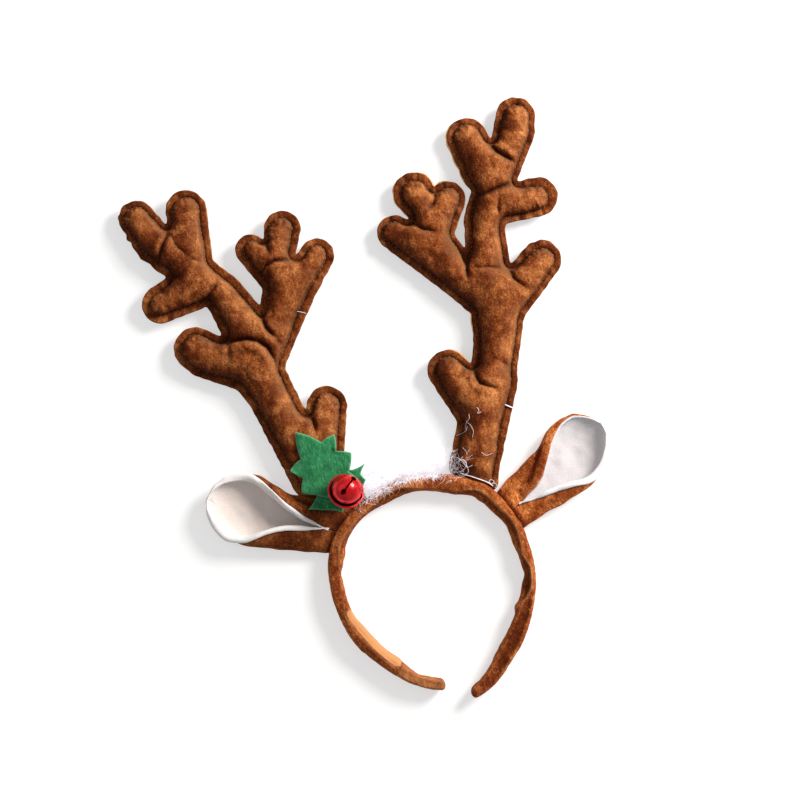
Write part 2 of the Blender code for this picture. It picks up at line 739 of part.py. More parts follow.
def cutter_object(name, mesh_maker):
    """A wire object for a Boolean, from a bmesh made in millimetres."""
    bm = bmesh.new()
    mesh_maker(bm)
    bmesh.ops.scale(bm, vec=(MM, MM, MM), verts=bm.verts)
    mesh = bpy.data.meshes.new(name)
    bm.to_mesh(mesh)
    bm.free()
    made = bpy.data.objects.new(name, mesh)
    bpy.context.collection.objects.link(made)
    return made


def make_bell():
    """A hollow ball of two halves with a rim, one slot and two round holes."""
    profile, shell = turned_profile()
    points, faces = turned_body(profile)
    bell = add_object("jingle_bell", points, face_outwards(np.array(points), faces), "red_metal")
    points, faces = turned_body(shell)
    hollow = add_object("bell_hollow", points, face_outwards(np.array(points), faces), "red_metal")
    slot_turn = Matrix.Rotation(math.radians(BELL_SLOT_TOWARDS), 4, "Z")
    height = 2 * BELL_RADIUS

    def slot_mesh(bm):
        size = Matrix.Diagonal((2 * BELL_HOLE_OFFSET, BELL_SLOT_WIDTH, height, 1.0))
        place = Matrix.Translation((0.0, 0.0, height / 2))
        bmesh.ops.create_cube(bm, size=1.0, matrix=slot_turn @ place @ size)

    cut_away(bell, hollow)
    cut_away(bell, cutter_object("bell_slot", slot_mesh))
    for side, name in ((-1.0, "bell_hole_near"), (1.0, "bell_hole_far")):

        def hole_mesh(bm, side=side):
            place = Matrix.Translation((side * BELL_HOLE_OFFSET, 0.0, height / 2))
            bmesh.ops.create_cone(
                bm, cap_ends=True, segments=BELL_HOLE_SIDES, radius1=BELL_HOLE_RADIUS,
                radius2=BELL_HOLE_RADIUS, depth=height, matrix=slot_turn @ place,
            )

        cut_away(bell, cutter_object(name, hole_mesh))
    lean_axis = Matrix.Rotation(math.radians(BELL_LEAN_TOWARDS + 90.0), 4, "Z") @ Vector((1, 0, 0))
    bell.matrix_world = (
        Matrix.Translation(Vector(BELL_CENTRE) * MM)
        @ Matrix.Rotation(math.radians(BELL_LEAN), 4, lean_axis)
    )


# Fluff


def fur_length(angle):
    """Length of the locks at an angle of the band."""
    return FUR_SHORT + (FUR_LONG - FUR_SHORT) * np.exp(-(((angle - FUR_PEAK) / FUR_SPREAD) ** 2))


def make_fur_trim():
    """Pointed locks drawn out of the cells of a curved backing strip."""
    random = np.random.default_rng(FUR_SEED)
    angles = np.linspace(FUR_FROM, FUR_TO, FUR_COLUMNS + 1)
    heights = np.linspace(FUR_LOW, FUR_HIGH, FUR_LAYERS + 1)
    outer, inner = [], []
    for angle in angles:
        turn = math.radians(angle)
        face = band_radius(angle, 2) + GAP
        for radius, grid in ((face + FUR_BACKING, outer), (face, inner)):
            grid.append([(radius * math.sin(turn), radius * math.cos(turn), z) for z in heights])
    points, faces = sheet_solid(np.array(outer), np.array(inner))
    faces = face_outwards(points, faces)
    bm = bmesh.new()
    corners = [bm.verts.new(point) for point in points]
    for face in faces:
        bm.faces.new([corners[k] for k in face])
    count = (FUR_COLUMNS + 1) * (FUR_LAYERS + 1)
    bm.verts.index_update()
    cells = [face for face in bm.faces if all(corner.index < count for corner in face.verts)]
    lengths = FUR_SHORTEST + 2 * (1.0 - FUR_SHORTEST) * random.random(len(cells))
    leans = random.uniform(-FUR_LEAN, FUR_LEAN, (len(cells), 2))
    for cell, share, lean in zip(cells, lengths, leans):
        middle = cell.calc_center_median()
        angle = math.degrees(math.atan2(middle.x, middle.y))
        length = float(fur_length(angle)) * share
        outward = Vector((middle.x, middle.y, 0.0)).normalized()
        sideways = Vector((outward.y, -outward.x, 0.0))
        layer = (middle.z - FUR_LOW) / (FUR_HIGH - FUR_LOW) - 0.5
        rise = max(FUR_FAN * layer + lean[1] / 2, (FUR_TIP_FLOOR - middle.z) / length)
        aim = outward + sideways * lean[0] + Vector((0.0, 0.0, rise))
        tip, width = cell, 1.0
        for reach, size in FUR_STEPS:
            made = bmesh.ops.extrude_discrete_faces(bm, faces=[tip])
            tip = made["faces"][0]
            centre = middle + aim * length * reach
            old_centre = tip.calc_center_median()
            for corner in tip.verts:
                corner.co = centre + (corner.co - old_centre) * (size / width)
            width = size
    mesh = bpy.data.meshes.new("fur_trim")
    bmesh.ops.scale(bm, vec=(MM, MM, MM), verts=bm.verts)
    bm.to_mesh(mesh)
    bm.free()
    mesh.materials.append(material("white_fluff"))
    mesh.shade_smooth()
    bpy.context.collection.objects.link(bpy.data.objects.new("fur_trim", mesh))


def centre_footprint():
    """Move the whole headband so that its footprint's middle is the origin."""
    bpy.context.view_layer.update()
    pieces = [piece for piece in bpy.data.objects if piece.display_type != "WIRE"]
    corners = [piece.matrix_world @ Vector(corner) for piece in pieces for corner in piece.bound_box]
    lows = [min(corner[k] for corner in corners) for k in range(3)]
    highs = [max(corner[k] for corner in corners) for k in range(3)]
    shift = Matrix.Translation((-(lows[0] + highs[0]) / 2, -(lows[1] + highs[1]) / 2, 0.0))
    for piece in pieces:
        piece.matrix_world = shift @ piece.matrix_world


def main():
    for old in list(bpy.data.objects):
        bpy.data.objects.remove(old)
    make_headband()
    make_antler("antler_left", LEFT_LIMBS, LEFT_CREASES)
    make_antler("antler_right", RIGHT_LIMBS, RIGHT_CREASES)
    make_ear_outer("ear_left_outer", LEFT_EAR, LEFT_EAR_ROWS)
    make_ear_lining("ear_left_lining", LEFT_EAR, LEFT_EAR_ROWS)
    make_ear_outer("ear_right_outer", RIGHT_EAR, RIGHT_EAR_ROWS)
    make_ear_lining("ear_right_lining", RIGHT_EAR, RIGHT_EAR_ROWS)
    make_leaf("holly_leaf_upper", UPPER_LEAF, UPPER_LEAF_BASE, FELT + 3 * GAP)
    make_leaf("holly_leaf_lower", LOWER_LEAF, LOWER_LEAF_BASE, 2 * GAP)
    make_bell()
    make_fur_trim()
    centre_footprint()


main()
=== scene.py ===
"""Looks of the reindeer antler headband: plush, folded cloth, felt, metal and loose fibres.

Shapes are worked out in millimetres in the headband's own plan: the band's loop is round
x = y = 0, the antlers point to +Y, and the surface that it lies on is z = 0. A piece goes
to its place in the frame, in metres, when its mesh is made.
"""
import math

import bpy
import numpy as np
from mathutils import Matrix, Vector
from mathutils.geometry import delaunay_2d_cdt
from mathutils.kdtree import KDTree


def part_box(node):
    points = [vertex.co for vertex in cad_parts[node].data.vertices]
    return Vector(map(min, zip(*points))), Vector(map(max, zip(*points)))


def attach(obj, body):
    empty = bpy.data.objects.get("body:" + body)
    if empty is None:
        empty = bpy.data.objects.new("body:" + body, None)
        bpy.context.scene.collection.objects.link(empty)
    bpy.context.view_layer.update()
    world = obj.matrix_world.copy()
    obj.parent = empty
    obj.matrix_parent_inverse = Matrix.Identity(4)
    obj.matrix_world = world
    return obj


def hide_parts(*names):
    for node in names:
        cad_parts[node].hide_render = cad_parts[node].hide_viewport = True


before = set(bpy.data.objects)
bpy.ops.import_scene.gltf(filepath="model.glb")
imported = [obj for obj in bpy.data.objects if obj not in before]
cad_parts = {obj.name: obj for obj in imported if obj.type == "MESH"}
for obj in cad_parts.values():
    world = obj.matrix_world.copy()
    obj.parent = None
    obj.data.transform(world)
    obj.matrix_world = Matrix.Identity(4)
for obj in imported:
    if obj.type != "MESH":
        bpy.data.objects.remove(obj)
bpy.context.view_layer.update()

MM = 0.001
GAP = 0.3
NEAR_UPRIGHT = 0.9
BODY = "root"

# How the photograph looks down on the plan
PHOTO_MM = 0.66  # millimetres for each pixel
PHOTO_LOOP = (432.0, 588.0)  # the pixel over the middle of the band's loop
PHOTO_TURN = math.radians(14.0)

# Head band: radii of its inner and outer edge, by angle from +Y towards +X
BAND_DEPTH = 13.0
BAND_ROWS = (
    # angle, inner, outer
    (-174.0, 60.8, 68.6), (-160.0, 58.0, 66.2), (-146.0, 53.8, 63.0), (-128.0, 50.9, 61.7),
    (-110.0, 51.5, 63.3), (-92.0, 55.3, 64.4), (-74.0, 58.7, 68.0), (-60.0, 61.0, 71.3),
    (-46.0, 64.0, 73.5), (-32.0, 65.0, 73.5), (-16.0, 63.0, 73.0), (0.0, 64.6, 74.4),
    (16.0, 63.4, 75.0), (28.0, 63.6, 76.5), (40.0, 66.6, 77.5), (52.0, 63.8, 75.8),
    (64.0, 64.0, 73.6), (76.0, 61.7, 71.6), (94.0, 60.6, 69.0), (112.0, 58.5, 68.6),
    (130.0, 57.2, 69.0), (146.0, 59.6, 71.6), (160.0, 65.7, 76.2), (173.6, 71.9, 78.3),
)

# Antlers: tapered limbs, each from one round end to the other, seam allowance included
ANTLER_MIDDLE = 7.6
FLANGE_HALF = 0.8
PAD_SHARE = 0.84
LIMB_BLEND = 2.0
LEFT_LIMBS = (
    # name, x, y, radius, x, y, radius
    ("base", -55.5, 88.5, 16.5, -37.5, 67.0, 10.0),
    ("stem_low", -60.6, 88.0, 12.5, -82.5, 158.1, 7.7),
    ("stem_mid", -78.8, 155.6, 12.2, -84.1, 179.3, 18.1),
    ("stem_high", -74.8, 188.7, 17.3, -86.6, 221.3, 13.4),
    ("stem_top", -87.7, 226.9, 10.7, -115.0, 255.7, 13.9),
    ("tip_outer", -122.0, 263.9, 13.5, -130.3, 283.6, 12.2),
    ("tip_inner", -100.9, 247.7, 12.9, -97.4, 281.2, 13.5),
    ("tine_high", -106.7, 230.3, 15.1, -128.6, 224.9, 12.5),
    ("tine_mid", -80.7, 167.5, 12.6, -113.4, 191.0, 14.3),
    ("branch", -67.4, 173.1, 10.8, -52.6, 212.0, 10.2),
    ("tip_left", -50.8, 223.5, 11.2, -62.2, 245.7, 10.2),
    ("tip_upper", -48.2, 229.5, 9.7, -38.6, 253.9, 12.2),
    ("tip_right", -45.1, 207.9, 14.0, -20.6, 231.4, 11.4),
    ("tine_low", -53.0, 93.6, 15.5, -38.3, 133.2, 13.3),
    ("branch_side", -64.9, 166.3, 5.2, -38.8, 207.1, 8.8),
    ("tine_side", -72.2, 160.6, 13.4, -111.4, 182.3, 10.8),
    ("stem_side", -69.9, 154.9, 12.4, -60.5, 110.2, 12.5),
)
RIGHT_LIMBS = (
    # name, x, y, radius, x, y, radius
    ("base", 47.4, 72.3, 17.2, 50.0, 61.3, 10.5),
    ("stem_low", 46.8, 69.6, 15.6, 71.5, 122.2, 16.8),
    ("stem_mid", 71.0, 118.6, 14.4, 86.3, 162.3, 16.3),
    ("stem_high", 83.2, 160.8, 15.3, 90.4, 217.4, 13.6),
    ("stem_top", 92.9, 227.0, 13.9, 101.3, 245.3, 12.3),
    ("tine_low", 60.1, 104.8, 17.3, 45.0, 136.9, 13.5),
    ("branch", 75.9, 178.3, 10.7, 57.0, 218.1, 14.8),
    ("tip_left", 52.8, 215.8, 14.7, 32.6, 233.7, 11.4),
    ("tip_upper", 60.8, 227.3, 8.1, 51.6, 256.0, 13.8),
    ("tip_right", 56.7, 222.4, 11.3, 72.4, 247.0, 11.5),
    ("tine_high", 100.5, 234.7, 12.9, 130.6, 233.9, 13.0),
    ("tip_inner", 99.5, 258.4, 14.3, 94.3, 282.7, 13.4),
    ("tip_outer", 111.7, 255.8, 10.1, 128.7, 288.5, 13.1),
    ("tine_mid", 93.1, 170.0, 14.4, 122.4, 192.7, 13.4),
    ("tip_side", 103.6, 247.6, 13.0, 126.4, 279.0, 12.8),
    ("branch_side", 73.3, 181.9, 10.6, 35.5, 227.1, 8.8),
    ("stem_side", 50.0, 85.2, 13.9, 77.9, 147.1, 9.5),
)
# Folds across the padding, along pixels of the photograph. The padding slopes gently down to
# a fold on the side that its lean names, the left one where it is positive, and swells on the other.
LEFT_FOLDS = (
    # depth, width, lean, pixels
    (3.6, 1.5, 0.0, (168, 229), (167, 237), (163, 246), (160.5, 255), (160, 265)),
    (
        5.2, 1.9, 0.65,
        (223, 339), (227, 345), (235, 342), (247, 340), (258, 342), (267, 348), (273, 358), (277, 367),
    ),
    (3.6, 1.6, 0.3, (218, 283), (212, 290), (206, 299)),
    (1.8, 2.4, 0.4, (174, 273), (184, 264), (193, 260), (207, 264)),
    (4.4, 1.5, 0.7, (260, 275), (266, 267), (275, 262), (285, 261), (296, 258)),
    (1.4, 1.6, 0.0, (230, 348), (229, 359)),
    (3.0, 1.8, 0.0, (305, 412), (313, 421), (316, 433)),
    (1.6, 2.6, 0.0, (170, 232), (176, 246), (188, 256)),
    (2.6, 1.5, 0.0, (169, 275), (176, 278), (182, 276)),
    (4.0, 1.4, 0.0, (260, 312), (263, 320), (266, 328), (272, 335)),
    (1.3, 2.4, 0.0, (268, 330), (277, 339), (283, 352)),
    (3.0, 1.5, 0.0, (263, 239), (267, 246), (269, 253)),
    (2.8, 1.4, 0.0, (297, 250), (294, 257), (289, 262)),
    (1.4, 3.2, 0.0, (245, 372), (256, 388), (262, 404)),
)
RIGHT_FOLDS = (
    # depth, width, lean, pixels
    (4.4, 1.5, -0.6, (491, 138), (490, 145), (497, 152), (505, 157), (513, 162)),
    (4.4, 1.8, 0.0, (475, 198), (483, 195), (492, 191), (503, 187), (517, 182)),
    (1.6, 1.4, 0.3, (465, 272), (474, 268), (488, 268), (504, 269)),
    (2.8, 1.8, 0.0, (512, 262), (509, 270), (513, 279), (523, 287)),
    (3.0, 1.8, 0.0, (410, 219), (415, 225), (422, 230), (434, 232)),
    (3.0, 1.6, 0.0, (434, 190), (435, 198), (433, 204), (427, 209)),
    (2.0, 1.7, 0.0, (499, 199), (497, 207), (499, 216)),
    (3.4, 1.7, 0.1, (472, 367), (475, 376), (479, 383), (486, 386), (495, 388)),
    (1.6, 3.0, 0.0, (498, 360), (508, 366), (514, 372)),
    (3.6, 1.5, 0.0, (466, 262), (466, 271), (467, 278)),
    (1.3, 3.0, 0.0, (440, 212), (452, 222), (461, 236)),
)
# The flat seam allowance, and where it is wider or narrower than that
LEFT_FLANGE = 5.1
RIGHT_FLANGE = 4.3
LEFT_WIDTHS = (
    # pixel x, pixel y, reach, change
    (169, 218, 9.0, -2.2), (204, 222, 8.0, 0.8), (122, 221, 9.0, -1.8), (137, 248, 9.0, -1.3),
    (266, 230, 8.0, -2.2), (313, 294, 11.0, 0.9), (300, 320, 10.0, 0.6), (331, 253, 8.0, 0.8),
    (240, 283, 13.0, 0.7), (160, 300, 9.0, 0.6), (260, 311, 4.0, 2.6), (262, 317, 3.0, 3.6),
)
LEFT_RAGGED = (
    # pixel x, pixel y, reach, how far the cut edge wanders
    (121, 222, 7.0, 0.40), (128, 240, 8.0, 0.45), (143, 262, 8.0, 0.3), (206, 205, 7.0, 0.1),
)
RIGHT_RAGGED = (
    # pixel x, pixel y, reach, how far the cut edge wanders
    (541, 243, 9.0, 0.25), (535, 180, 8.0, 0.25), (513, 99, 8.0, 0.05),
)
RIGHT_WIDTHS = (
    # pixel x, pixel y, reach, change
    (551, 193, 9.0, 2.6), (535, 181, 9.0, 1.6), (541, 245, 8.0, 1.9), (399, 193, 8.0, 1.1),
    (413, 176, 8.0, 1.2), (506, 424, 22.0, 1.5), (432, 370, 9.0, 1.6), (451, 357, 8.0, 0.8),
    (385, 235, 9.0, -0.8), (512, 107, 9.0, 1.0), (466, 255, 4.0, 3.0), (466, 261, 3.2, 5.0),
    (466, 267, 2.6, 6.0),
)
# Where the lower cloth reaches out past the upper one and shows its pale back
LEFT_PALE = (
    # pixel x, pixel y, reach, how far the lower cloth stands out
    (210, 212, 5.0, 0.5), (220, 266, 6.0, 0.4), (312, 387, 4.0, 0.5), (322, 385, 4.0, 0.5),
    (123, 205, 4.0, 0.4),
)
RIGHT_PALE = (
    # pixel x, pixel y, reach, how far the lower cloth stands out
    (449, 130, 7.0, 0.8), (451, 145, 7.0, 1.0), (457, 162, 7.0, 0.9), (464, 176, 6.0, 0.6),
    (394, 190, 6.0, 0.8), (396, 203, 6.0, 0.7), (403, 213, 5.0, 0.5), (425, 174, 6.0, 0.8),
    (431, 184, 6.0, 0.8), (441, 183, 4.0, 0.9), (461, 356, 7.0, 0.8), (467, 361, 5.0, 0.5),
    (473, 322, 9.0, 0.7), (467, 207, 8.0, 0.4), (463, 222, 6.0, 0.5),
)
PULL_REACH = 42.0  # the bell's stitches flatten the left antler's padding round it
PULL_SHARE = 0.5

# Ears: each row is a folded section across the ear's axis. On its high side, the lining's roll has
# its own share of the full size, and its edge may stay back from the brown one.
EAR_CLOTH = 1.5
LINING_CLOTH = 1.5
LINING_GAP = 0.3
ROLL_RADIUS = 2.5
ROLL_SHARE = 0.22
ROLL_MORE = 0.15
ROLL_LEAST = 0.8
LEFT_EAR = {
    "root": (-55.4, 53.3), "tip": (-130.7, 92.4), "high_side": -1.0, "high_roll": 1.0, "high_back": 0.0,
}
RIGHT_EAR = {
    "root": (68.1, 39.1), "tip": (134.4, 78.2), "high_side": 1.0, "high_roll": 0.4, "high_back": 1.6,
}
LEFT_EAR_ROWS = (
    # along, low, high, low_turn, high_turn, half_depth, lift
    (-6.0, 15.0, 18.4, 179.8, 179.8, 4.4, 2.0),
    (2.0, 16.6, 18.8, 178.6, 178.6, 4.9, 1.4),
    (10.0, 17.8, 18.8, 172.0, 172.0, 6.2, 0.4),
    (20.0, 19.3, 18.2, 164.0, 161.0, 7.2, 0.0),
    (32.0, 21.0, 17.0, 156.0, 141.0, 8.0, 0.0),
    (44.0, 22.6, 20.8, 138.0, 125.0, 8.8, 0.0),
    (55.0, 23.4, 24.0, 113.0, 111.0, 9.0, 0.0),
    (64.0, 22.0, 22.8, 96.0, 96.0, 8.6, 0.6),
    (72.0, 18.4, 18.6, 86.0, 86.0, 7.4, 2.2),
    (79.0, 12.0, 12.6, 78.0, 78.0, 5.0, 4.8),
    (83.5, 4.5, 5.0, 70.0, 70.0, 2.6, 7.6),
    (84.6, 1.0, 1.0, 66.0, 66.0, 1.9, 8.3),
)
RIGHT_EAR_ROWS = (
    # along, low, high, low_turn, high_turn, half_depth, lift
    (-6.0, 13.4, 15.5, 179.8, 179.8, 4.4, 2.0),
    (2.0, 15.2, 16.4, 176.5, 179.4, 5.0, 1.4),
    (10.0, 16.9, 17.0, 163.0, 178.0, 6.2, 0.4),
    (18.0, 19.3, 17.1, 154.0, 176.0, 7.2, 0.0),
    (26.0, 21.4, 17.1, 145.0, 168.0, 7.8, 0.0),
    (35.0, 23.4, 17.4, 134.0, 149.0, 8.6, 0.0),
    (45.0, 24.8, 20.8, 114.0, 133.0, 9.0, 0.0),
    (55.0, 22.8, 21.8, 97.0, 122.0, 9.0, 0.2),
    (63.0, 19.0, 20.4, 88.0, 108.0, 8.4, 1.2),
    (69.0, 14.4, 17.2, 82.0, 94.0, 6.6, 3.0),
    (73.5, 9.6, 11.4, 76.0, 80.0, 4.4, 5.2),
    (76.5, 4.5, 5.0, 70.0, 70.0, 2.6, 7.6),
    (77.6, 1.0, 1.0, 66.0, 66.0, 1.9, 8.3),
)

# Holly: the corners of each die-cut leaf, tips and notches in turn
FELT = 1.2
LOWER_LEAF_BASE = 13.5
UPPER_LEAF_BASE = 15.1
UPPER_LEAF = (
    (-62.0, 121.5), (-47.5, 111.0), (-38.0, 114.0), (-39.5, 103.0), (-30.0, 99.5),
    (-34.5, 88.0), (-30.5, 82.0), (-37.0, 77.0), (-38.5, 69.5), (-47.0, 73.5),
    (-59.0, 78.4), (-67.8, 82.1), (-64.5, 91.0), (-71.5, 98.0), (-63.0, 103.5),
)
LOWER_LEAF = (
    (-66.5, 70.0), (-57.5, 67.5), (-45.4, 63.3), (-38.5, 68.0), (-31.0, 70.5),
    (-25.0, 80.0), (-27.5, 84.5), (-23.0, 90.5), (-32.5, 88.5), (-41.0, 95.0),
    (-45.0, 87.0), (-57.0, 86.5), (-58.5, 77.5),
)

# Jingle bell
BELL_RADIUS = 11.85
BELL_CENTRE = (-39.0, 76.5, UPPER_LEAF_BASE + FELT + GAP + BELL_RADIUS)

# Painted light: velvet is painted lighter where its face leans this way, towards the key light, and darker
# where it leans away from it
KEY_LIGHT_WAY = np.array((0.92, 0.39, 0.0))
PAINTED_LEAN_SHADE = 0.55
PAINTED_LEAN_HIGHLIGHT = 0.13


def frame_origin():
    """Where the plan's x = y = 0 lies in the frame, from the bell's own middle."""
    low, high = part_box("jingle_bell")
    middle = np.array((low + high) / 2) / MM - np.array(BELL_CENTRE)
    return np.array((middle[0], middle[1], 0.0))


ORIGIN = frame_origin()


def plan(pixels):
    """Places in the plan of places in the photograph, in pixels."""
    x, y = np.moveaxis(np.asarray(pixels, float) - PHOTO_LOOP, -1, 0)
    cos, sin = math.cos(PHOTO_TURN), math.sin(PHOTO_TURN)
    return np.stack((x * cos - y * sin, -x * sin - y * cos), axis=-1) * PHOTO_MM


END_FADE = 4.2


def smooth_step(value, low, high):
    """From 0 at low to 1 at high, level at both ends."""
    t = np.clip((value - low) / (high - low), 0.0, 1.0)
    return t * t * (3.0 - 2.0 * t)


def hill(away, reach):
    """1 where a distance is 0, falling smoothly to almost 0 at twice the reach."""
    return np.exp(-((away / reach) ** 2))


def fading(share, least):
    """From a little at both ends of a path up to 1 over its middle."""
    return np.sqrt(np.clip(END_FADE * share * (1.0 - share) + least, 0.0, 1.0))


def unit(vectors):
    """Vectors brought to a length of one."""
    return vectors / np.maximum(np.linalg.norm(vectors, axis=-1, keepdims=True), 1e-9)


def smooth_column(x, stations, values):
    """A smooth curve through one column of a table, read at x."""
    slopes = np.gradient(values, stations)
    low = np.clip(np.searchsorted(stations, x) - 1, 0, len(stations) - 2)
    width = stations[low + 1] - stations[low]
    t = np.clip((x - stations[low]) / width, 0.0, 1.0)
    start = (1 + 2 * t) * (1 - t) ** 2 * values[low] + t * (1 - t) ** 2 * width * slopes[low]
    end = t * t * (3 - 2 * t) * values[low + 1] + t * t * (t - 1) * width * slopes[low + 1]
    return start + end


def ripple(points, wavelength, seed, waves=16):
    """Smooth chance values of about one unit, the sum of waves in many directions."""
    random = np.random.default_rng(seed)
    directions = unit(random.normal(size=(waves, points.shape[-1])))
    lengths = wavelength * random.uniform(0.7, 1.5, waves)
    phases = random.uniform(0.0, 2.0 * math.pi, waves)
    total = np.zeros(points.shape[:-1])
    for direction, length, phase in zip(directions, lengths, phases):
        total += np.sin(points @ direction * (2.0 * math.pi / length) + phase)
    return total / math.sqrt(waves / 2.0)


def ripples(points, seed, sizes):
    """Ripples added up: each has a wavelength and a size, and the next seed."""
    return sum(size * ripple(points, length, seed + k) for k, (length, size) in enumerate(sizes))


def lean_to_light(points, faces):
    """How far the surface at each point leans towards the key light, from -1 to 1, for painted light and
    shade.
    """
    faces = np.asarray(faces)
    corners = points[faces]
    normals = np.cross(corners[:, 1] - corners[:, 0], corners[:, 2] - corners[:, 0])
    total = np.zeros((len(points), 3))
    for corner in faces.T:
        np.add.at(total, corner, normals)
    return unit(total) @ KEY_LIGHT_WAY


def mesh_object(name, points, faces, finish, marks=None):
    """A smooth mesh in the frame, from points in millimetres and faces with equal corner counts."""
    faces = np.asarray(faces, np.int32)
    mesh = bpy.data.meshes.new(name)
    mesh.vertices.add(len(points))
    mesh.vertices.foreach_set("co", ((points + ORIGIN) * MM).astype(np.float32).ravel())
    mesh.loops.add(faces.size)
    mesh.loops.foreach_set("vertex_index", faces.ravel())
    mesh.polygons.add(len(faces))
    starts = np.arange(0, faces.size, faces.shape[1], dtype=np.int32)
    mesh.polygons.foreach_set("loop_start", starts)
    mesh.update(calc_edges=True)
    mesh.shade_smooth()
    for mark, values in (marks or {}).items():
        layer = mesh.attributes.new(mark, "FLOAT", "POINT")
        layer.data.foreach_set("value", np.asarray(values, np.float32).ravel())
    mesh.materials.append(finish)
    made = bpy.data.objects.new(name, mesh)
    bpy.context.scene.collection.objects.link(made)
    return made


def dress(piece, slot, *nodes):
    """The piece rides with the headband and stands for CAD nodes; the slot is not used."""
    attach(piece, BODY)
    if nodes:
        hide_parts(*nodes)
    return piece


def two_triangles(a, b, c, d):
    """Both triangles of each four corners."""
    return [np.stack(corners, axis=-1).reshape(-1, 3) for corners in ((a, b, c), (a, c, d))]


def tubes(paths, radii, sides):
    """Points and triangles of closed tubes along paths that have equally many points."""
    along = unit(np.gradient(paths, axis=1))
    helper = np.where(np.abs(along[..., 2:]) > NEAR_UPRIGHT, (1.0, 0.0, 0.0), (0.0, 0.0, 1.0))
    first = unit(np.cross(along, helper))
    second = np.cross(along, first)
    turn = 2.0 * math.pi * np.arange(sides) / sides
    ring = first[:, :, None] * np.cos(turn)[:, None] + second[:, :, None] * np.sin(turn)[:, None]
    points = paths[:, :, None] + ring * np.asarray(radii)[..., None, None]
    index = np.arange(points.size // 3).reshape(points.shape[:3])
    after = np.roll(index, -1, axis=2)
    faces = two_triangles(index[:, :-1], after[:, :-1], after[:, 1:], index[:, 1:])
    for k in range(1, sides - 1):
        faces.append(np.stack((index[:, 0, 0], index[:, 0, k + 1], index[:, 0, k]), axis=-1))
        faces.append(np.stack((index[:, -1, 0], index[:, -1, k], index[:, -1, k + 1]), axis=-1))
    return points.reshape(-1, 3), np.concatenate(faces)


# Materials


class Finish:
    """A material whose nodes are added one call at a time."""

    def __init__(self, name, colour, roughness, **values):
        self.material = bpy.data.materials.new(name)
        self.material.use_nodes = True
        self.nodes = self.material.node_tree.nodes
        self.links = self.material.node_tree.links
        self.shader = self.nodes["Principled BSDF"]
        self.shader.inputs["Base Color"].default_value = (*colour, 1.0)
        self.shader.inputs["Roughness"].default_value = roughness
        for socket, value in values.items():
            self.shader.inputs[socket.replace("_", " ").title().replace("Ior", "IOR")].default_value = value
        self.place = self.nodes.new("ShaderNodeTexCoord").outputs["Object"]

    def put(self, socket, value):
        """A value or another node's output goes into a socket."""
        if isinstance(value, bpy.types.NodeSocket):
            self.links.new(value, socket)
        else:
            socket.default_value = value

    def noise(self, size_mm, detail=2.0, distortion=0.0, stretch=(1.0, 1.0, 1.0), turn=0.0):
        """Noise with features of about this size, stretched along turned axes."""
        mapping = self.nodes.new("ShaderNodeMapping")
        mapping.inputs["Scale"].default_value = stretch
        mapping.inputs["Rotation"].default_value = (0.0, 0.0, math.radians(turn))
        self.links.new(self.place, mapping.inputs["Vector"])
        noise = self.nodes.new("ShaderNodeTexNoise")
        noise.inputs["Scale"].default_value = 1.0 / (size_mm * MM)
        noise.inputs["Detail"].default_value = detail
        noise.inputs["Distortion"].default_value = distortion
        self.links.new(mapping.outputs["Vector"], noise.inputs["Vector"])
        return noise.outputs["Fac"]

    def mark(self, name):
        """The values of a point attribute."""
        attribute = self.nodes.new("ShaderNodeAttribute")
        attribute.attribute_name = name
        return attribute.outputs["Fac"]

    def sum(self, *shares):
        """Sum of sockets, each times its share."""
        total = None
        for value, share in shares:
            node = self.nodes.new("ShaderNodeMath")
            node.operation = "MULTIPLY_ADD"
            self.put(node.inputs[0], value)
            node.inputs[1].default_value = share
            self.put(node.inputs[2], 0.0 if total is None else total)
            total = node.outputs[0]
        return total

    def spread(self, value, low, high, to_low=0.0, to_high=1.0):
        """A smooth step between two values, spread over another span."""
        node = self.nodes.new("ShaderNodeMapRange")
        node.interpolation_type = "SMOOTHSTEP"
        self.put(node.inputs["Value"], value)
        node.inputs["From Min"].default_value = low
        node.inputs["From Max"].default_value = high
        node.inputs["To Min"].default_value = to_low
        node.inputs["To Max"].default_value = to_high
        return node.outputs["Result"]

    def blend(self, share, first, second, kind="MIX"):
        """Two colours blended by a share."""
        node = self.nodes.new("ShaderNodeMix")
        node.data_type = "RGBA"
        node.blend_type = kind
        self.put(node.inputs[0], share)
        for socket, colour in ((node.inputs[6], first), (node.inputs[7], second)):
            self.put(socket, colour if isinstance(colour, bpy.types.NodeSocket) else (*colour, 1.0))
        return node.outputs[2]

    def ramp(self, value, *stops):
        """A colour for each value, between stops."""
        node = self.nodes.new("ShaderNodeValToRGB")
        for _ in stops[2:]:
            node.color_ramp.elements.new(0.5)
        for element, (position, colour) in zip(node.color_ramp.elements, stops):
            element.position = position
            element.color = (*colour, 1.0)
        self.put(node.inputs["Fac"], value)
        return node.outputs["Color"]

    def colour(self, value):
        """The output becomes the base colour."""
        self.links.new(value, self.shader.inputs["Base Color"])

    def bump(self, height, depth_mm):
        """The output becomes fine relief."""
        node = self.nodes.new("ShaderNodeBump")
        node.inputs["Distance"].default_value = depth_mm * MM
        self.links.new(height, node.inputs["Height"])
        self.links.new(node.outputs["Normal"], self.shader.inputs["Normal"])


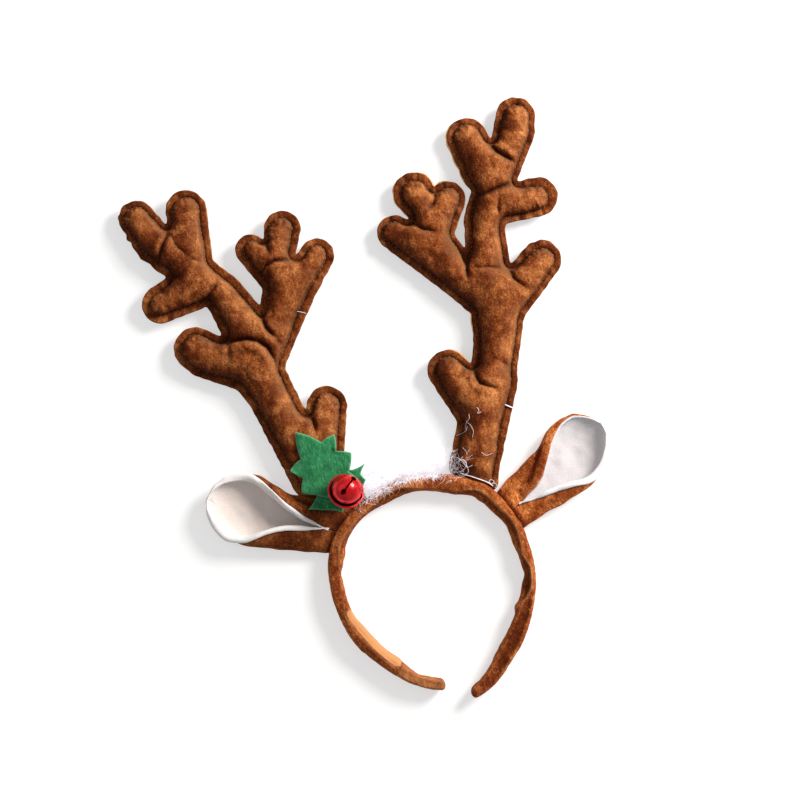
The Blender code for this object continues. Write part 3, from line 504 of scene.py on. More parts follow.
MOTTLE = 0.42  # share of the velvet's patches in its pattern
STREAKS = 0.24
GRAIN = 0.34
SHADE_IN_NAP = -0.10
NAP_STOPS = (
    # place in the pattern, colour
    (0.38, (0.085, 0.015, 0.003)), (0.48, (0.19, 0.040, 0.008)),
    (0.59, (0.38, 0.120, 0.031)), (0.73, (0.76, 0.34, 0.125)),
)
GLINT = (0.72, 0.33, 0.12)
GLINT_SPAN = (0.53, 0.70)
GLINT_SHARE = 0.34
FLANGE_TINT = (0.62, 0.50, 0.42)
FLANGE_SHARE = 0.6
PAINTED_SHADE_TINT = (0.36, 0.24, 0.18)
BARE_TAN = (0.52, 0.235, 0.095)
PALE_BACK_AND_HIGHLIGHT = (0.82, 0.46, 0.20)
VELVET_BUMP = 0.45


def scaled(colour, factor):
    """A colour made lighter or darker."""
    return tuple(channel * factor for channel in colour)


def velvet(name, tone, mottle=MOTTLE):
    """Crushed brown velvet: patches where the nap lies another way, a fine painted glint, and painted shade
    and painted highlights from the marks.
    """
    made = Finish(
        name, (0.2, 0.045, 0.01), 0.8, sheen_weight=0.06, sheen_roughness=0.35,
        sheen_tint=(1.0, 0.45, 0.15, 1.0), specular_ior_level=0.06,
    )
    patches = made.noise(15.0, 2.0, 0.7)
    streaks = made.noise(2.4, 3.0, 0.4, (1.0, 0.5, 1.0), 20.0)
    grain = made.noise(1.0, 2.0, 0.2)
    # The shade mark also darkens the pattern: painted shade
    nap = made.sum((patches, mottle), (streaks, STREAKS), (grain, GRAIN), (made.mark("shade"), SHADE_IN_NAP))
    shift = (MOTTLE - mottle) / 2
    colour = made.ramp(nap, *((place - shift, scaled(stop, tone)) for place, stop in NAP_STOPS))
    fine = made.noise(1.5, 2.0, 0.5, (1.0, 0.6, 1.0), 65.0)
    glint = made.spread(made.sum((fine, 0.7), (patches, 0.3)), *GLINT_SPAN)
    colour = made.blend(made.sum((glint, GLINT_SHARE)), colour, scaled(GLINT, tone))
    colour = made.blend(made.sum((made.mark("flange"), FLANGE_SHARE)), colour, FLANGE_TINT, "MULTIPLY")
    # Painted shade from the shade mark, in seams, folds, creases and notches, at the ears' roots and on
    # faces turned from the key light, and the band's darker faces
    colour = made.blend(made.mark("shade"), colour, PAINTED_SHADE_TINT, "MULTIPLY")
    colour = made.blend(made.mark("bare"), colour, BARE_TAN)
    # The pale mark: the lower cloth's pale back, the band's lighter left end, and painted highlights on the
    # band's ridge and on faces that lean towards the key light
    colour = made.blend(made.mark("pale"), colour, PALE_BACK_AND_HIGHLIGHT)
    made.colour(colour)
    fibres = made.noise(0.4, 2.0)
    made.bump(made.sum((fibres, 0.35), (grain, 0.7), (streaks, 0.5)), VELVET_BUMP)
    return made.material


def lining_white(name, rim, hollow):
    """A short white pile, darker and warmer low in the hollow of the fold: partly the brown cloth showing
    through the thin pile, and partly painted shade and painted light bounced from the brown cloth.
    """
    made = Finish(
        name, rim, 0.9, sheen_weight=0.2, sheen_roughness=0.5, specular_ior_level=0.12,
        subsurface_weight=0.1, subsurface_scale=0.002,
    )
    cloud = made.noise(11.0, 2.0)
    grain = made.noise(0.7, 3.0)
    shade = scaled(rim, 0.9)
    colour = made.ramp(made.sum((cloud, 0.5), (grain, 0.5)), (0.36, shade), (0.58, rim))
    # The hollow mark: painted shade and bounced brown light, with the brown cloth showing through
    made.colour(made.blend(made.mark("hollow"), colour, hollow, "MULTIPLY"))
    made.bump(made.sum((grain, 1.0), (cloud, 0.5)), 0.22)
    return made.material


FELT_STOPS = (
    # place in the pattern, colour
    (0.38, (0.005, 0.075, 0.024)), (0.55, (0.016, 0.17, 0.058)), (0.72, (0.06, 0.32, 0.13)),
)
FELT_CUT = (0.09, 0.36, 0.18)
LACQUER_STOPS = ((0.3, (0.50, 0.007, 0.010)), (0.7, (0.68, 0.016, 0.021)))
GROOVE_PAINTED_SHADE = (0.018, 0.0006, 0.0006)
SCUFFED = (0.35, 0.75, 0.14, 0.34)  # span of the scuffs' pattern, and roughness without and with them


def felt_green():
    """Pressed wool felt: matted fibres that cross each other, lighter where it is cut."""
    made = Finish("felt", (0.04, 0.28, 0.11), 0.95, sheen_weight=0.3, specular_ior_level=0.12)
    first = made.noise(0.9, 3.0, 1.2, (1.0, 0.22, 1.0), 35.0)
    second = made.noise(0.8, 3.0, 1.2, (1.0, 0.25, 1.0), -50.0)
    cloud = made.noise(7.0, 2.0)
    fibres = made.sum((first, 0.45), (second, 0.35), (cloud, 0.3))
    colour = made.ramp(fibres, *FELT_STOPS)
    cut = made.spread(made.mark("cut"), 0.0, 1.0)
    made.colour(made.blend(cut, colour, FELT_CUT))
    made.bump(made.sum((first, 0.6), (second, 0.5), (made.noise(0.3, 2.0), 0.3)), 0.45)
    return made.material


def red_metal():
    """Glossy red lacquer over metal, with a few fine scuffs and painted shade in the crimp's groove."""
    made = Finish(
        "red_metal", (0.62, 0.012, 0.018), 0.2, metallic=0.6, coat_weight=0.25, coat_roughness=0.05,
        specular_ior_level=0.5, specular_tint=(1.0, 0.30, 0.26, 1.0),
    )
    cloud = made.noise(5.0, 2.0)
    scuffs = made.noise(0.8, 3.0, 0.5, (1.0, 0.2, 1.0), 30.0)
    colour = made.ramp(cloud, *LACQUER_STOPS)
    # Painted shade in the groove
    made.colour(made.blend(made.mark("groove"), colour, GROOVE_PAINTED_SHADE))
    roughness = made.spread(made.sum((cloud, 0.4), (scuffs, 0.6)), *SCUFFED)
    made.links.new(roughness, made.shader.inputs["Roughness"])
    made.bump(made.sum((cloud, 1.0), (scuffs, 0.15)), 0.05)
    return made.material


def fibre(name, colour, roughness=0.6, **values):
    """Thread and loose fibres, slightly uneven along their length."""
    made = Finish(name, colour, roughness, specular_ior_level=0.3, **values)
    uneven = made.noise(1.5, 2.0)
    shade = scaled(colour, 0.8)
    made.colour(made.ramp(uneven, (0.3, shade), (0.65, colour)))
    return made.material


# Tones: the band and the right ear lighter and the left ear darker, partly as painted light for how near the
# key light they lie and how they turn to it, and partly as the cloths' own tone
VELVET = velvet("velvet", 0.87)
BAND_LIT_VELVET = velvet("band_lit_velvet", 1.2, 0.24)
LEFT_EAR_SHADED_VELVET = velvet("left_ear_shaded_velvet", 0.72, 0.34)
RIGHT_EAR_LIT_VELVET = velvet("right_ear_lit_velvet", 1.65, 0.30)
LEFT_WHITE = lining_white("left_ear_white", (0.78, 0.75, 0.735), (0.94, 0.86, 0.82))
RIGHT_WHITE = lining_white("right_ear_white", (0.74, 0.73, 0.745), (0.90, 0.86, 0.86))
FELT_GREEN = felt_green()
RED_METAL = red_metal()
# The fluff glows faintly: painted light, standing in for light scattered among its fine fibres
FLUFF = fibre(
    "fluff", (0.95, 0.94, 0.98), 0.6, emission_color=(0.93, 0.90, 1.0, 1.0), emission_strength=0.28,
)
WHITE_THREAD = fibre("white_thread", (0.86, 0.85, 0.92), 0.5)
BROWN_THREAD = fibre("brown_thread", (0.36, 0.15, 0.06), 0.55)


# Fields over the plan

SIDE_TURN = 0.8  # a path's sides change over within this distance of it
CLOSEST_POINTS = 1e-3


def band_radius(angle, column):
    """Inner (1) or outer (2) radius of the band at an angle in degrees."""
    table = np.array(BAND_ROWS)
    return smooth_column(angle, table[:, 0], table[:, column])


def round_loop(points):
    """Angle in degrees, from +Y towards +X, and distance of points from the loop's middle."""
    x, y = points[..., 0], points[..., 1]
    return np.degrees(np.arctan2(x, y)), np.hypot(x, y)


def band_outside(points):
    """How far points of the plan lie outside the band's outer edge."""
    angle, radius = round_loop(points)
    return radius - band_radius(angle, 2)


def limb_reach(points, limb):
    """Distance of points from a limb's centre line, and the limb's radius there."""
    start = np.array(limb[1:3])
    run = np.array(limb[4:6]) - start
    t = np.clip((points - start) @ run / (run @ run), 0.0, 1.0)
    distance = np.linalg.norm(points - start - t[..., None] * run, axis=-1)
    return distance, limb[3] + (limb[6] - limb[3]) * t


def smooth_lowest(a, b, blend):
    """The lower of two values, rounded where they meet."""
    h = np.maximum(blend - np.abs(a - b), 0.0) / blend
    return np.minimum(a, b) - h * h * blend / 4


def limbs_inside(points, limbs):
    """Depth of points inside the limbs' joined outline."""
    outside = None
    for limb in limbs:
        distance, radius = limb_reach(points, limb)
        edge = distance - radius
        outside = edge if outside is None else smooth_lowest(outside, edge, LIMB_BLEND)
    return -outside


def path_distance(points, path):
    """Distance of points from a path, the share of its length passed there, and the side."""
    path = np.asarray(path, float)
    lengths = np.linalg.norm(np.diff(path, axis=0), axis=1)
    best = np.full(points.shape[:-1], np.inf)
    share = np.zeros(points.shape[:-1])
    side = np.zeros(points.shape[:-1])
    walked = 0.0
    for start, end, length in zip(path, path[1:], lengths):
        run = end - start
        t = np.clip((points - start) @ run / length**2, 0.0, 1.0)
        distance = np.linalg.norm(points - start - t[..., None] * run, axis=-1)
        left = run[0] * (points[..., 1] - start[1]) - run[1] * (points[..., 0] - start[0])
        nearer = distance < best
        best = np.where(nearer, distance, best)
        share = np.where(nearer, (walked + t * length) / lengths.sum(), share)
        side = np.where(nearer, np.clip(left / length / SIDE_TURN, -1.0, 1.0), side)
        walked += length
    return best, share, side


def read_grid(values, corner, step, points):
    """Values of a square grid between its points."""
    place = (points - corner) / step
    low = np.clip(np.floor(place).astype(int), 0, np.array(values.shape) - 2)
    x, y = np.moveaxis(np.clip(place - low, 0.0, 1.0), -1, 0)
    i, j = np.moveaxis(low, -1, 0)
    near = values[i, j] * (1 - x) + values[i + 1, j] * x
    far = values[i, j + 1] * (1 - x) + values[i + 1, j + 1] * x
    return near * (1 - y) + far * y


def square_grid(low, high, step):
    """A square grid of places that covers a stretch of the plan."""
    counts = np.ceil((np.subtract(high, low)) / step).astype(int) + 1
    i, j = np.meshgrid(np.arange(counts[0]), np.arange(counts[1]), indexing="ij")
    return np.asarray(low) + step * np.stack((i, j), axis=-1)


def contours(values, corner, step):
    """The loops on which a grid of values crosses zero, the longest first."""

    def cut(a, b):
        share = values[a] / (values[a] - values[b])
        return corner + step * (np.array(a) + share * np.subtract(b, a))

    links = {}
    inside = values > 0.0
    cells = inside[:-1, :-1].astype(int) + inside[1:, :-1] + inside[:-1, 1:] + inside[1:, 1:]
    for i, j in zip(*np.nonzero((cells > 0) & (cells < 4))):
        corners = ((i, j), (i + 1, j), (i + 1, j + 1), (i, j + 1))
        sides = zip(corners, corners[1:] + corners[:1])
        crossed = [tuple(sorted(side)) for side in sides if inside[side[0]] != inside[side[1]]]
        for a, b in zip(crossed[::2], crossed[1::2]):
            links.setdefault(a, []).append(b)
            links.setdefault(b, []).append(a)
    loops = []
    while links:
        start = next(iter(links))
        loop, here = [], start
        while here in links:
            loop.append(here)
            onward = [side for side in links.pop(here) if side in links]
            here = onward[0] if onward else start
        loops.append(np.array([cut(*side) for side in loop]))
    return sorted(loops, key=len, reverse=True)


def walked_along(line):
    """Distance walked along a line at each of its points."""
    return np.concatenate(((0.0,), np.cumsum(np.linalg.norm(np.diff(line, axis=0), axis=1))))


def even_points(loop, spacing):
    """Points at even distances along a closed loop."""
    closed = np.vstack((loop, loop[:1]))
    walked = walked_along(closed)
    count = max(8, round(walked[-1] / spacing))
    places = np.arange(count) * walked[-1] / count
    return np.column_stack([np.interp(places, walked, closed[:, k]) for k in (0, 1)])


def runs_inside(loop, keep):
    """The stretches of a closed loop whose points are kept."""
    if keep.all():
        return [np.vstack((loop, loop[:1]))]
    order = np.roll(np.arange(len(loop)), -int(np.argmin(keep)))
    runs, run = [], []
    for k in order:
        if keep[k]:
            run.append(loop[k])
        elif run:
            runs.append(np.array(run))
            run = []
    if run:
        runs.append(np.array(run))
    return [run for run in runs if len(run) > 1]


def triangulate(outline, lines, spots):
    """Triangles inside an outline that keep to inner lines and spots."""
    coords = [Vector(point) for point in outline]
    count = len(coords)
    edges = [(k, (k + 1) % count) for k in range(count)]
    for line in lines:
        base = len(coords)
        coords += [Vector(point) for point in line]
        edges += [(base + k, base + k + 1) for k in range(len(line) - 1)]
    coords += [Vector(spot) for spot in spots]
    result = delaunay_2d_cdt(coords, edges, [list(range(count))], 1, CLOSEST_POINTS)
    plan_points = np.array([tuple(point) for point in result[0]])
    faces = np.array([tuple(face) for face in result[2]])
    used, faces = np.unique(faces, return_inverse=True)
    return plan_points[used], faces.reshape(-1, 3)


def double_areas(points, faces):
    """Twice the area of each triangle of the plan, negative where its corners run clockwise."""
    a, b, c = (points[faces[:, k]] for k in range(3))
    (ux, uy), (vx, vy) = (b - a).T, (c - a).T
    return ux * vy - uy * vx


def closed_cloths(points, faces, top, bottom, notch):
    """A closed body between two faces on one plan, notched all round where two cloths meet."""
    count = len(points)
    faces = np.where((double_areas(points, faces) < 0.0)[:, None], faces[:, ::-1], faces)
    sides = faces[:, ((0, 1), (1, 2), (2, 0))].reshape(-1, 2)
    border = sides[~np.isin(sides @ (count, 1), sides @ (1, count))]
    out = points[border[:, 1]] - points[border[:, 0]]
    out = unit(np.column_stack((out[:, 1], -out[:, 0])))
    push = np.zeros_like(points)
    np.add.at(push, border[:, 0], out)
    np.add.at(push, border[:, 1], out)
    edge = np.unique(border)
    middle = np.zeros(count, int)
    middle[edge] = 2 * count + np.arange(len(edge))
    inner = points[edge] - unit(push[edge]) * notch
    a, b = border.T
    wall = []
    levels = ((a, b), (middle[a], middle[b]), (a + count, b + count))
    for upper, lower in zip(levels, levels[1:]):
        wall.append(np.column_stack((upper[1], upper[0], lower[0])))
        wall.append(np.column_stack((upper[1], lower[0], lower[1])))
    body = np.vstack((
        np.column_stack((points, top)),
        np.column_stack((points, bottom)),
        np.column_stack((inner, (top[edge] + bottom[edge]) / 2)),
    ))
    return body, np.vstack((faces, faces[:, ::-1] + count, *wall)), edge


# Antlers

PLAN_CELL = 1.0
PLAN_MARGIN = 18.0
PADDING_STEPS = 500
EDGE_SPACING = 0.25
RING_SPACING = 1.1
PAD_RINGS = (-0.5, -0.16, 0.16, 0.4, 0.8, 1.4, 2.2, 3.2, 4.5)
FLANGE_RINGS = (0.14, 0.5)
SPOT_STEP = 1.5
FOLD_STEP = 0.65
FOLD_REACH = 2.6
ANTLER_SEAT = 0.5
STITCH_PITCH = 2.9
STITCH_HALF = 1.05
STITCH_RADIUS = 0.24
STITCH_LIFT = 0.9
STITCH_DIP = 2.2
STITCH_TAPER = 0.55
THREAD_SIDES = 6
SLOPE_STEP = 0.4
STITCH_PLACES = (-1.0, -0.7, 0.0, 0.7, 1.0)  # along a stitch, in halves of its length
LEAST_LOOP = 12  # shorter contours are specks
WANDER = 0.14  # how far the cut edge wanders where no table says more
WANDER_LENGTH = 7.0
FLANGE_RIPPLE = 0.3
FLANGE_RIPPLE_LENGTH = 38.0
RISE_FROM = 1.5  # the membrane's steepness is read from here inwards, and spread out to the seam
RISE_ROUNDS = 6
RISE_SPAN = (1.0, 3.5)
SOFT_FOOT = 0.6  # share of the padding's height where an antler meets the band
FOOT_SPAN = 9.0
FOLD_END = 0.12
FOLD_LEAN = 0.9
FOLD_STRETCH = 40.0
FOLD_EDGE = 2.5
SWELL_SHARE = 0.24
SWELL_PLACE = 2.2
SWELL_WIDTH = 1.6
TIP_REACH = 1.12
# Waves of both cloths together, strongest over the tips
EDGE_WAVE = 0.22
TIP_WAVE = 0.3
EDGE_WAVE_LENGTH = 8.0
BROAD_WAVE = 0.12
BROAD_WAVE_LENGTH = 24.0
WAVE_SPAN = (-1.5, 3.0)
SEAM_GROOVE = 0.6
SEAM_GROOVE_WIDTH = 0.45
PUCKER = 0.3
TIP_PUCKER = 0.75
PUCKER_START = 0.7
PUCKER_REACH = 2.6
FLANGE_PUCKER = 0.22
FLANGE_PUCKER_LENGTH = 3.0
FLANGE_PUCKER_SPAN = (-0.2, 1.2)
# Wavelength and size of what puckers at the seam, and of lumps in the filling
PUCKERS = ((3.4, 0.6), (6.5, 0.7))
LUMPS = ((9.0, 0.16), (4.0, 0.07))
LUMP_SPAN = (0.5, 4.0)
UNEVEN_FILLING = 0.045
UNEVEN_LENGTH = 26.0
LOWER_FOLDS = 0.5  # the lower cloth's folds are shallower
LYING_SOFTNESS = 0.9
EDGE_NOTCH = 0.3
# Painted shade in the seam, beside it on the padding, in folds and in the notch between the cloths
SEAM_SHADE = 0.75
SEAM_SHADE_WIDTH = 0.5
FOOT_SHADE = 0.5
FOOT_SHADE_REACH = 1.6
FLANGE_SPAN = (-0.4, 0.3)
DARKEST_FOLD = 4.0
NOTCH_SHADE = 0.3
PALE_SPAN = (0.1, 0.5)


class Antler:
    """One padded antler: two cloths sewn together, with heights worked out over its plan."""

    def __init__(self, name, limbs, folds, flange, widths, ragged, pale, seed):
        self.name = name
        self.limbs = limbs
        self.folds = [(depth, width, lean, plan(path)) for depth, width, lean, *path in folds]
        self.flange = flange
        self.widths = widths
        self.ragged = ragged
        self.pale = pale
        self.seed = seed
        ends = np.array([limb[1:3] for limb in limbs] + [limb[4:6] for limb in limbs])
        self.corner = ends.min(axis=0) - PLAN_MARGIN
        self.grid = square_grid(self.corner, ends.max(axis=0) + PLAN_MARGIN, PLAN_CELL)
        self.inward = self.measure_inward()
        self.membrane, self.rise = self.stretch()

    def flange_width(self, points):
        """Width of the flat seam allowance near points."""
        width = self.flange + FLANGE_RIPPLE * ripple(points, FLANGE_RIPPLE_LENGTH, self.seed)
        for x, y, reach, change in self.widths:
            width = width + change * hill(np.linalg.norm(points - plan((x, y)), axis=-1), reach)
        return width

    def depth(self, points):
        """How far points lie inside the cut cloth's edge, exact only near it."""
        wander = np.full(points.shape[:-1], WANDER)
        for x, y, reach, size in self.ragged:
            wander = wander + size * hill(np.linalg.norm(points - plan((x, y)), axis=-1), reach)
        return limbs_inside(points, self.limbs) + wander * ripple(points, WANDER_LENGTH, self.seed + 7)

    def lying(self, points):
        """Depth inside the cloth that is seen, which ends at the band."""
        return np.minimum(self.depth(points), band_outside(points) + ANTLER_SEAT)

    def measure_inward(self):
        """Distance inside the cut edge over the whole grid."""
        edge = even_points(contours(self.depth(self.grid), self.corner, PLAN_CELL)[0], EDGE_SPACING)
        tree = KDTree(len(edge))
        for k, point in enumerate(edge):
            tree.insert((*point, 0.0), k)
        tree.balance()
        flat = self.grid.reshape(-1, 2)
        away = np.array([tree.find((*point, 0.0))[2] for point in flat]).reshape(self.grid.shape[:2])
        return away * np.sign(self.depth(self.grid))

    def seam(self, points):
        """How far points lie inside the seam."""
        return read_grid(self.inward, self.corner, PLAN_CELL, points) - self.flange_width(points)

    def stretch(self):
        """A membrane held at the seam under even pressure, and its steepness near the seam."""
        inside = self.seam(self.grid)
        free = inside[1:-1, 1:-1] > 0.0
        membrane = np.zeros(inside.shape)
        for _ in range(PADDING_STEPS):
            near = membrane[:-2, 1:-1] + membrane[2:, 1:-1] + membrane[1:-1, :-2] + membrane[1:-1, 2:]
            membrane[1:-1, 1:-1] = np.where(free, (near + PLAN_CELL**2) / 4, 0.0)
        known = (inside > RISE_FROM).astype(float)
        rise = known * membrane / np.maximum(inside, 1.0)
        for _ in range(RISE_ROUNDS):
            total, count = rise.copy(), known.copy()
            for axis in (0, 1):
                for shift in (-1, 1):
                    total += np.roll(rise, shift, axis)
                    count += np.roll(known, shift, axis)
            filled = total / np.maximum(count, 1.0)
            rise = np.where(known > 0.0, rise, np.where(count > 0.0, filled, 0.0))
            known = np.maximum(known, (count > 0.0).astype(float))
        return membrane, rise

    def padding(self, points):
        """Height of the smooth padding above the flat cloths."""
        inside = self.seam(points)
        whole = read_grid(self.membrane, self.corner, PLAN_CELL, points)
        near = read_grid(self.rise, self.corner, PLAN_CELL, points) * np.maximum(inside, 0.0)
        share = smooth_step(inside, *RISE_SPAN)
        height = PAD_SHARE * np.sqrt(2.0 * np.maximum(near + (whole - near) * share, 0.0))
        if self.limbs is LEFT_LIMBS:
            away = np.linalg.norm(points - np.array(BELL_CENTRE[:2]), axis=-1)
            height = height * (1.0 - PULL_SHARE * hill(away, PULL_REACH))
        return height * (SOFT_FOOT + (1.0 - SOFT_FOOT) * smooth_step(band_outside(points), 0.0, FOOT_SPAN))

    def fold_change(self, points):
        """What the folds take from the padding's height, with a soft swell beside each."""
        change = np.zeros(points.shape[:-1])
        for depth, width, lean, path in self.folds:
            away, share, side = path_distance(points, path)
            fade = fading(share, FOLD_END)
            past = np.maximum(away - 2.0 * (np.abs(side) < 0.5), 0.0)
            reach = width * (1.0 + FOLD_LEAN * lean * side)
            change = change - depth * fade * np.exp(-away / reach) * np.exp(-past / FOLD_STRETCH)
            swell = SWELL_SHARE * depth * fade * (1.0 - lean * side)
            change = change + swell * hill(away - SWELL_PLACE * width, SWELL_WIDTH * width)
        return change

    def tips(self, points):
        """Near 1 over the round end of each tine."""
        share = np.zeros(points.shape[:-1])
        for limb in self.limbs:
            if limb[0].startswith(("tip", "tine")):
                away = np.linalg.norm(points - np.array(limb[4:6]), axis=-1)
                share = np.maximum(share, np.exp(-((away / (TIP_REACH * limb[6])) ** 4)))
        return share

    def heights(self, points):
        """Height of the upper and the lower face over places in the plan."""
        inside = self.seam(points)
        steps = SLOPE_STEP * np.eye(2)
        slope = np.stack([self.seam(points + step) - self.seam(points - step) for step in steps], axis=-1)
        foot = points - unit(slope) * inside[..., None]
        tip = self.tips(points)
        padding = self.padding(points)
        wave = ripple(foot, EDGE_WAVE_LENGTH, self.seed + 1) * (EDGE_WAVE + TIP_WAVE * tip)
        wave = wave + BROAD_WAVE * ripple(points, BROAD_WAVE_LENGTH, self.seed + 2)
        wave = wave * smooth_step(-inside, *WAVE_SPAN)
        groove = SEAM_GROOVE * hill(inside, SEAM_GROOVE_WIDTH)
        faces = []
        for side in (0, 1):
            seed = self.seed + 10 * (side + 1)
            deep = np.maximum(inside, 0.0)
            near = (1.0 - np.exp(-deep / PUCKER_START)) * np.exp(-deep / PUCKER_REACH)
            height = padding + (PUCKER + TIP_PUCKER * tip) * ripples(foot, seed, PUCKERS) * near
            height = height * (1.0 + UNEVEN_FILLING * ripple(points, UNEVEN_LENGTH, seed + 2))
            height = height + ripples(points, seed + 3, LUMPS) * smooth_step(inside, *LUMP_SPAN)
            fold = self.fold_change(points) * (1.0 if side == 0 else LOWER_FOLDS)
            height = np.maximum(height + fold * smooth_step(inside, 0.0, FOLD_EDGE), 0.0)
            flange_pucker = FLANGE_PUCKER * tip * ripple(foot, FLANGE_PUCKER_LENGTH, seed + 5)
            flange_pucker = flange_pucker * smooth_step(-inside, *FLANGE_PUCKER_SPAN)
            faces.append(FLANGE_HALF + flange_pucker - groove + np.where(inside > 0.0, height, 0.0))
        top = ANTLER_MIDDLE + wave + faces[0]
        bottom = ANTLER_MIDDLE + wave - faces[1]
        return top, 0.5 * (bottom + np.sqrt(bottom**2 + LYING_SOFTNESS))

    def build(self):
        """Mesh both cloths over triangles that follow the seam and the folds, and mark them."""
        spots, lines = [], []
        values = self.lying(self.grid)
        outline = even_points(contours(values, self.corner, PLAN_CELL)[0], RING_SPACING)
        inside = self.seam(self.grid)
        fields = [(inside - level) for level in PAD_RINGS]
        fields += [self.inward - share * self.flange_width(self.grid) for share in FLANGE_RINGS]
        for field in fields:
            for loop in contours(field, self.corner, PLAN_CELL):
                if len(loop) > LEAST_LOOP:
                    loop = even_points(loop, RING_SPACING)
                    lines += runs_inside(loop, band_outside(loop) > GAP + 0.6)
        low, high = self.grid[0, 0], self.grid[-1, -1]
        for step, close in ((SPOT_STEP, False), (FOLD_STEP, True)):
            places = square_grid(low, high, step)
            places[::2, :, 1] += step / 2
            places = places.reshape(-1, 2)
            room = np.minimum(self.seam(places) - PAD_RINGS[-1], band_outside(places) - GAP)
            places = places[room > 0.45 * step]
            away = np.min([path_distance(places, path)[0] for *_, path in self.folds], axis=0)
            spots.append(places[(away < FOLD_REACH) == close])
        points, faces = triangulate(outline, lines, np.vstack(spots))
        top, bottom = self.heights(points)
        body, faces, edge = closed_cloths(points, faces, top, bottom, EDGE_NOTCH)
        inside = self.seam(points)
        # Painted shade in folds, in the seam's groove and beside it at the foot of the padding
        folded = np.clip(-self.fold_change(points) / DARKEST_FOLD, 0.0, 1.0) * (inside > 0.0)
        flange = smooth_step(-inside, *FLANGE_SPAN)
        beside = FOOT_SHADE * np.exp(-np.maximum(inside, 0.0) / FOOT_SHADE_REACH) * (1 - flange)
        shade = SEAM_SHADE * hill(inside, SEAM_SHADE_WIDTH) + beside
        shade = np.clip(shade + folded, 0.0, 1.0)
        # The lower cloth's pale edge stands out from under the upper one
        outwards_way = unit(body[edge, :2] - body[2 * len(points):, :2])
        bare = np.zeros(len(edge))
        for x, y, reach, out in self.pale:
            bare = np.maximum(bare, out * hill(np.linalg.norm(points[edge] - plan((x, y)), axis=-1), reach))
        body[edge + len(points), :2] += outwards_way * bare[:, None]
        pale = np.zeros(len(body))
        pale[edge + len(points)] = smooth_step(bare, *PALE_SPAN)
        pale[2 * len(points):] = smooth_step(bare, *PALE_SPAN)
        # Painted light: faces that lean towards the key light get a painted highlight, and faces that lean
        # away get painted shade
        lean = lean_to_light(body, faces)
        # Painted shade in the notch between the cloths
        shade = np.concatenate((shade, shade, np.full(len(edge), NOTCH_SHADE)))
        shade = shade + PAINTED_LEAN_SHADE * np.maximum(-lean, 0.0)
        marks = {
            "flange": np.concatenate((flange, flange, np.ones(len(edge)))),
            "shade": np.clip(shade, 0.0, 1.0),
            "pale": np.maximum(pale, PAINTED_LEAN_HIGHLIGHT * np.maximum(lean, 0.0)),
        }
        piece = mesh_object(self.name + "_plush", body, faces, VELVET, marks)
        dress(piece, "brown_velvet", self.name)
        self.build_stitches()
        return piece

    def build_stitches(self):
        """A row of short stitches in the groove of the seam, on both faces."""
        centres, directions = [], []
        for loop in contours(self.seam(self.grid), self.corner, PLAN_CELL):
            if len(loop) > LEAST_LOOP:
                loop = even_points(loop, STITCH_PITCH)
                keep = band_outside(loop) > GAP + 3.0
                centres.append(loop[keep])
                directions.append(unit(np.roll(loop, -1, axis=0) - np.roll(loop, 1, axis=0))[keep])
        centres, directions = np.vstack(centres), np.vstack(directions)
        places = np.array(STITCH_PLACES)
        paths = centres[:, None] + directions[:, None] * (places * STITCH_HALF)[:, None]
        top, bottom = self.heights(centres)
        arch = STITCH_RADIUS * (STITCH_LIFT - STITCH_DIP * places**4)
        made = []
        for height, side in ((top, 1.0), (bottom, -1.0)):
            z = height[:, None] + side * arch
            made.append(np.concatenate((paths, z[..., None]), axis=-1))
        paths = np.concatenate(made)
        radii = np.broadcast_to(STITCH_RADIUS * (1.0 - STITCH_TAPER * places**4), paths.shape[:2])
        points, faces = tubes(paths, radii, THREAD_SIDES)
        dress(mesh_object(self.name + "_stitches", points, faces, BROWN_THREAD), "brown_velvet")


# Ears

EAR_ARC_POINTS = 37
EAR_STEP = 1.0
EAR_ROOT = -6.0
EAR_ROOT_BLEND = 10.0
SEAT = 0.7  # how deep a sewn cloth sinks into the sleeve
EAR_ROOT_SEARCH = (-25.0, 30.0)
HALVINGS = 30
LINING_START = 0.5
TIP_STRETCH = 6.0  # stations lie closer together over this last stretch
TIP_STATIONS = 14
TIP_CLOSER = 1.6
ROLL_OVER = 0.45
ROLL_FULL_SPAN = 20.0
# The roll's points past the brown edge, in shares of its radius
ROLL_OUTER = ((0.75, 0.15), (1.3, -0.3))  # up, out
ROLL_INNER = ((1.0, 1.35, 0.6), (1.4, 0.6, 0.0))  # up, in, share of the brown cloth
ROLL_START = 0.7
ROLL_KEPT_BACK = 0.6
CRUMPLES = ((16.0, 1.0), (7.0, 0.45))
CRUMPLE = 0.17
FOLD_MIDDLE = 8.0
# Heights between which dents, painted shade along creases, and the lining's painted shade and brown tint in
# its hollow come in
UPPER_SIDE = (7.0, 11.0)
CREASED_SIDE = (5.0, 8.0)
HOLLOW_SPAN = (5.0, 13.0)


def ear_frame(ear):
    """Root, direction along the ear and direction to its high side."""
    root = np.array(ear["root"])
    along = unit(np.subtract(ear["tip"], root))
    return root, along, np.array((-along[1], along[0])) * ear["high_side"]


def place_ear(ear, along, points):
    """Section points, across and up, at a station of the ear, whose strips start on the band."""
    root, direction, across = ear_frame(ear)
    base = root + points[:, :1] * across
    stations = np.full(len(points), along)
    if along < EAR_ROOT_BLEND:
        low = np.full(len(points), EAR_ROOT_SEARCH[0])
        high = np.full(len(points), EAR_ROOT_SEARCH[1])
        for _ in range(HALVINGS):
            middle = (low + high) / 2
            inside = band_outside(base + middle[:, None] * direction) < -SEAT
            low, high = np.where(inside, middle, low), np.where(inside, high, middle)
        share = (along - EAR_ROOT) / (EAR_ROOT_BLEND - EAR_ROOT)
        stations = high + (EAR_ROOT_BLEND - high) * share
    return np.column_stack((base + stations[:, None] * direction, points[:, 1]))


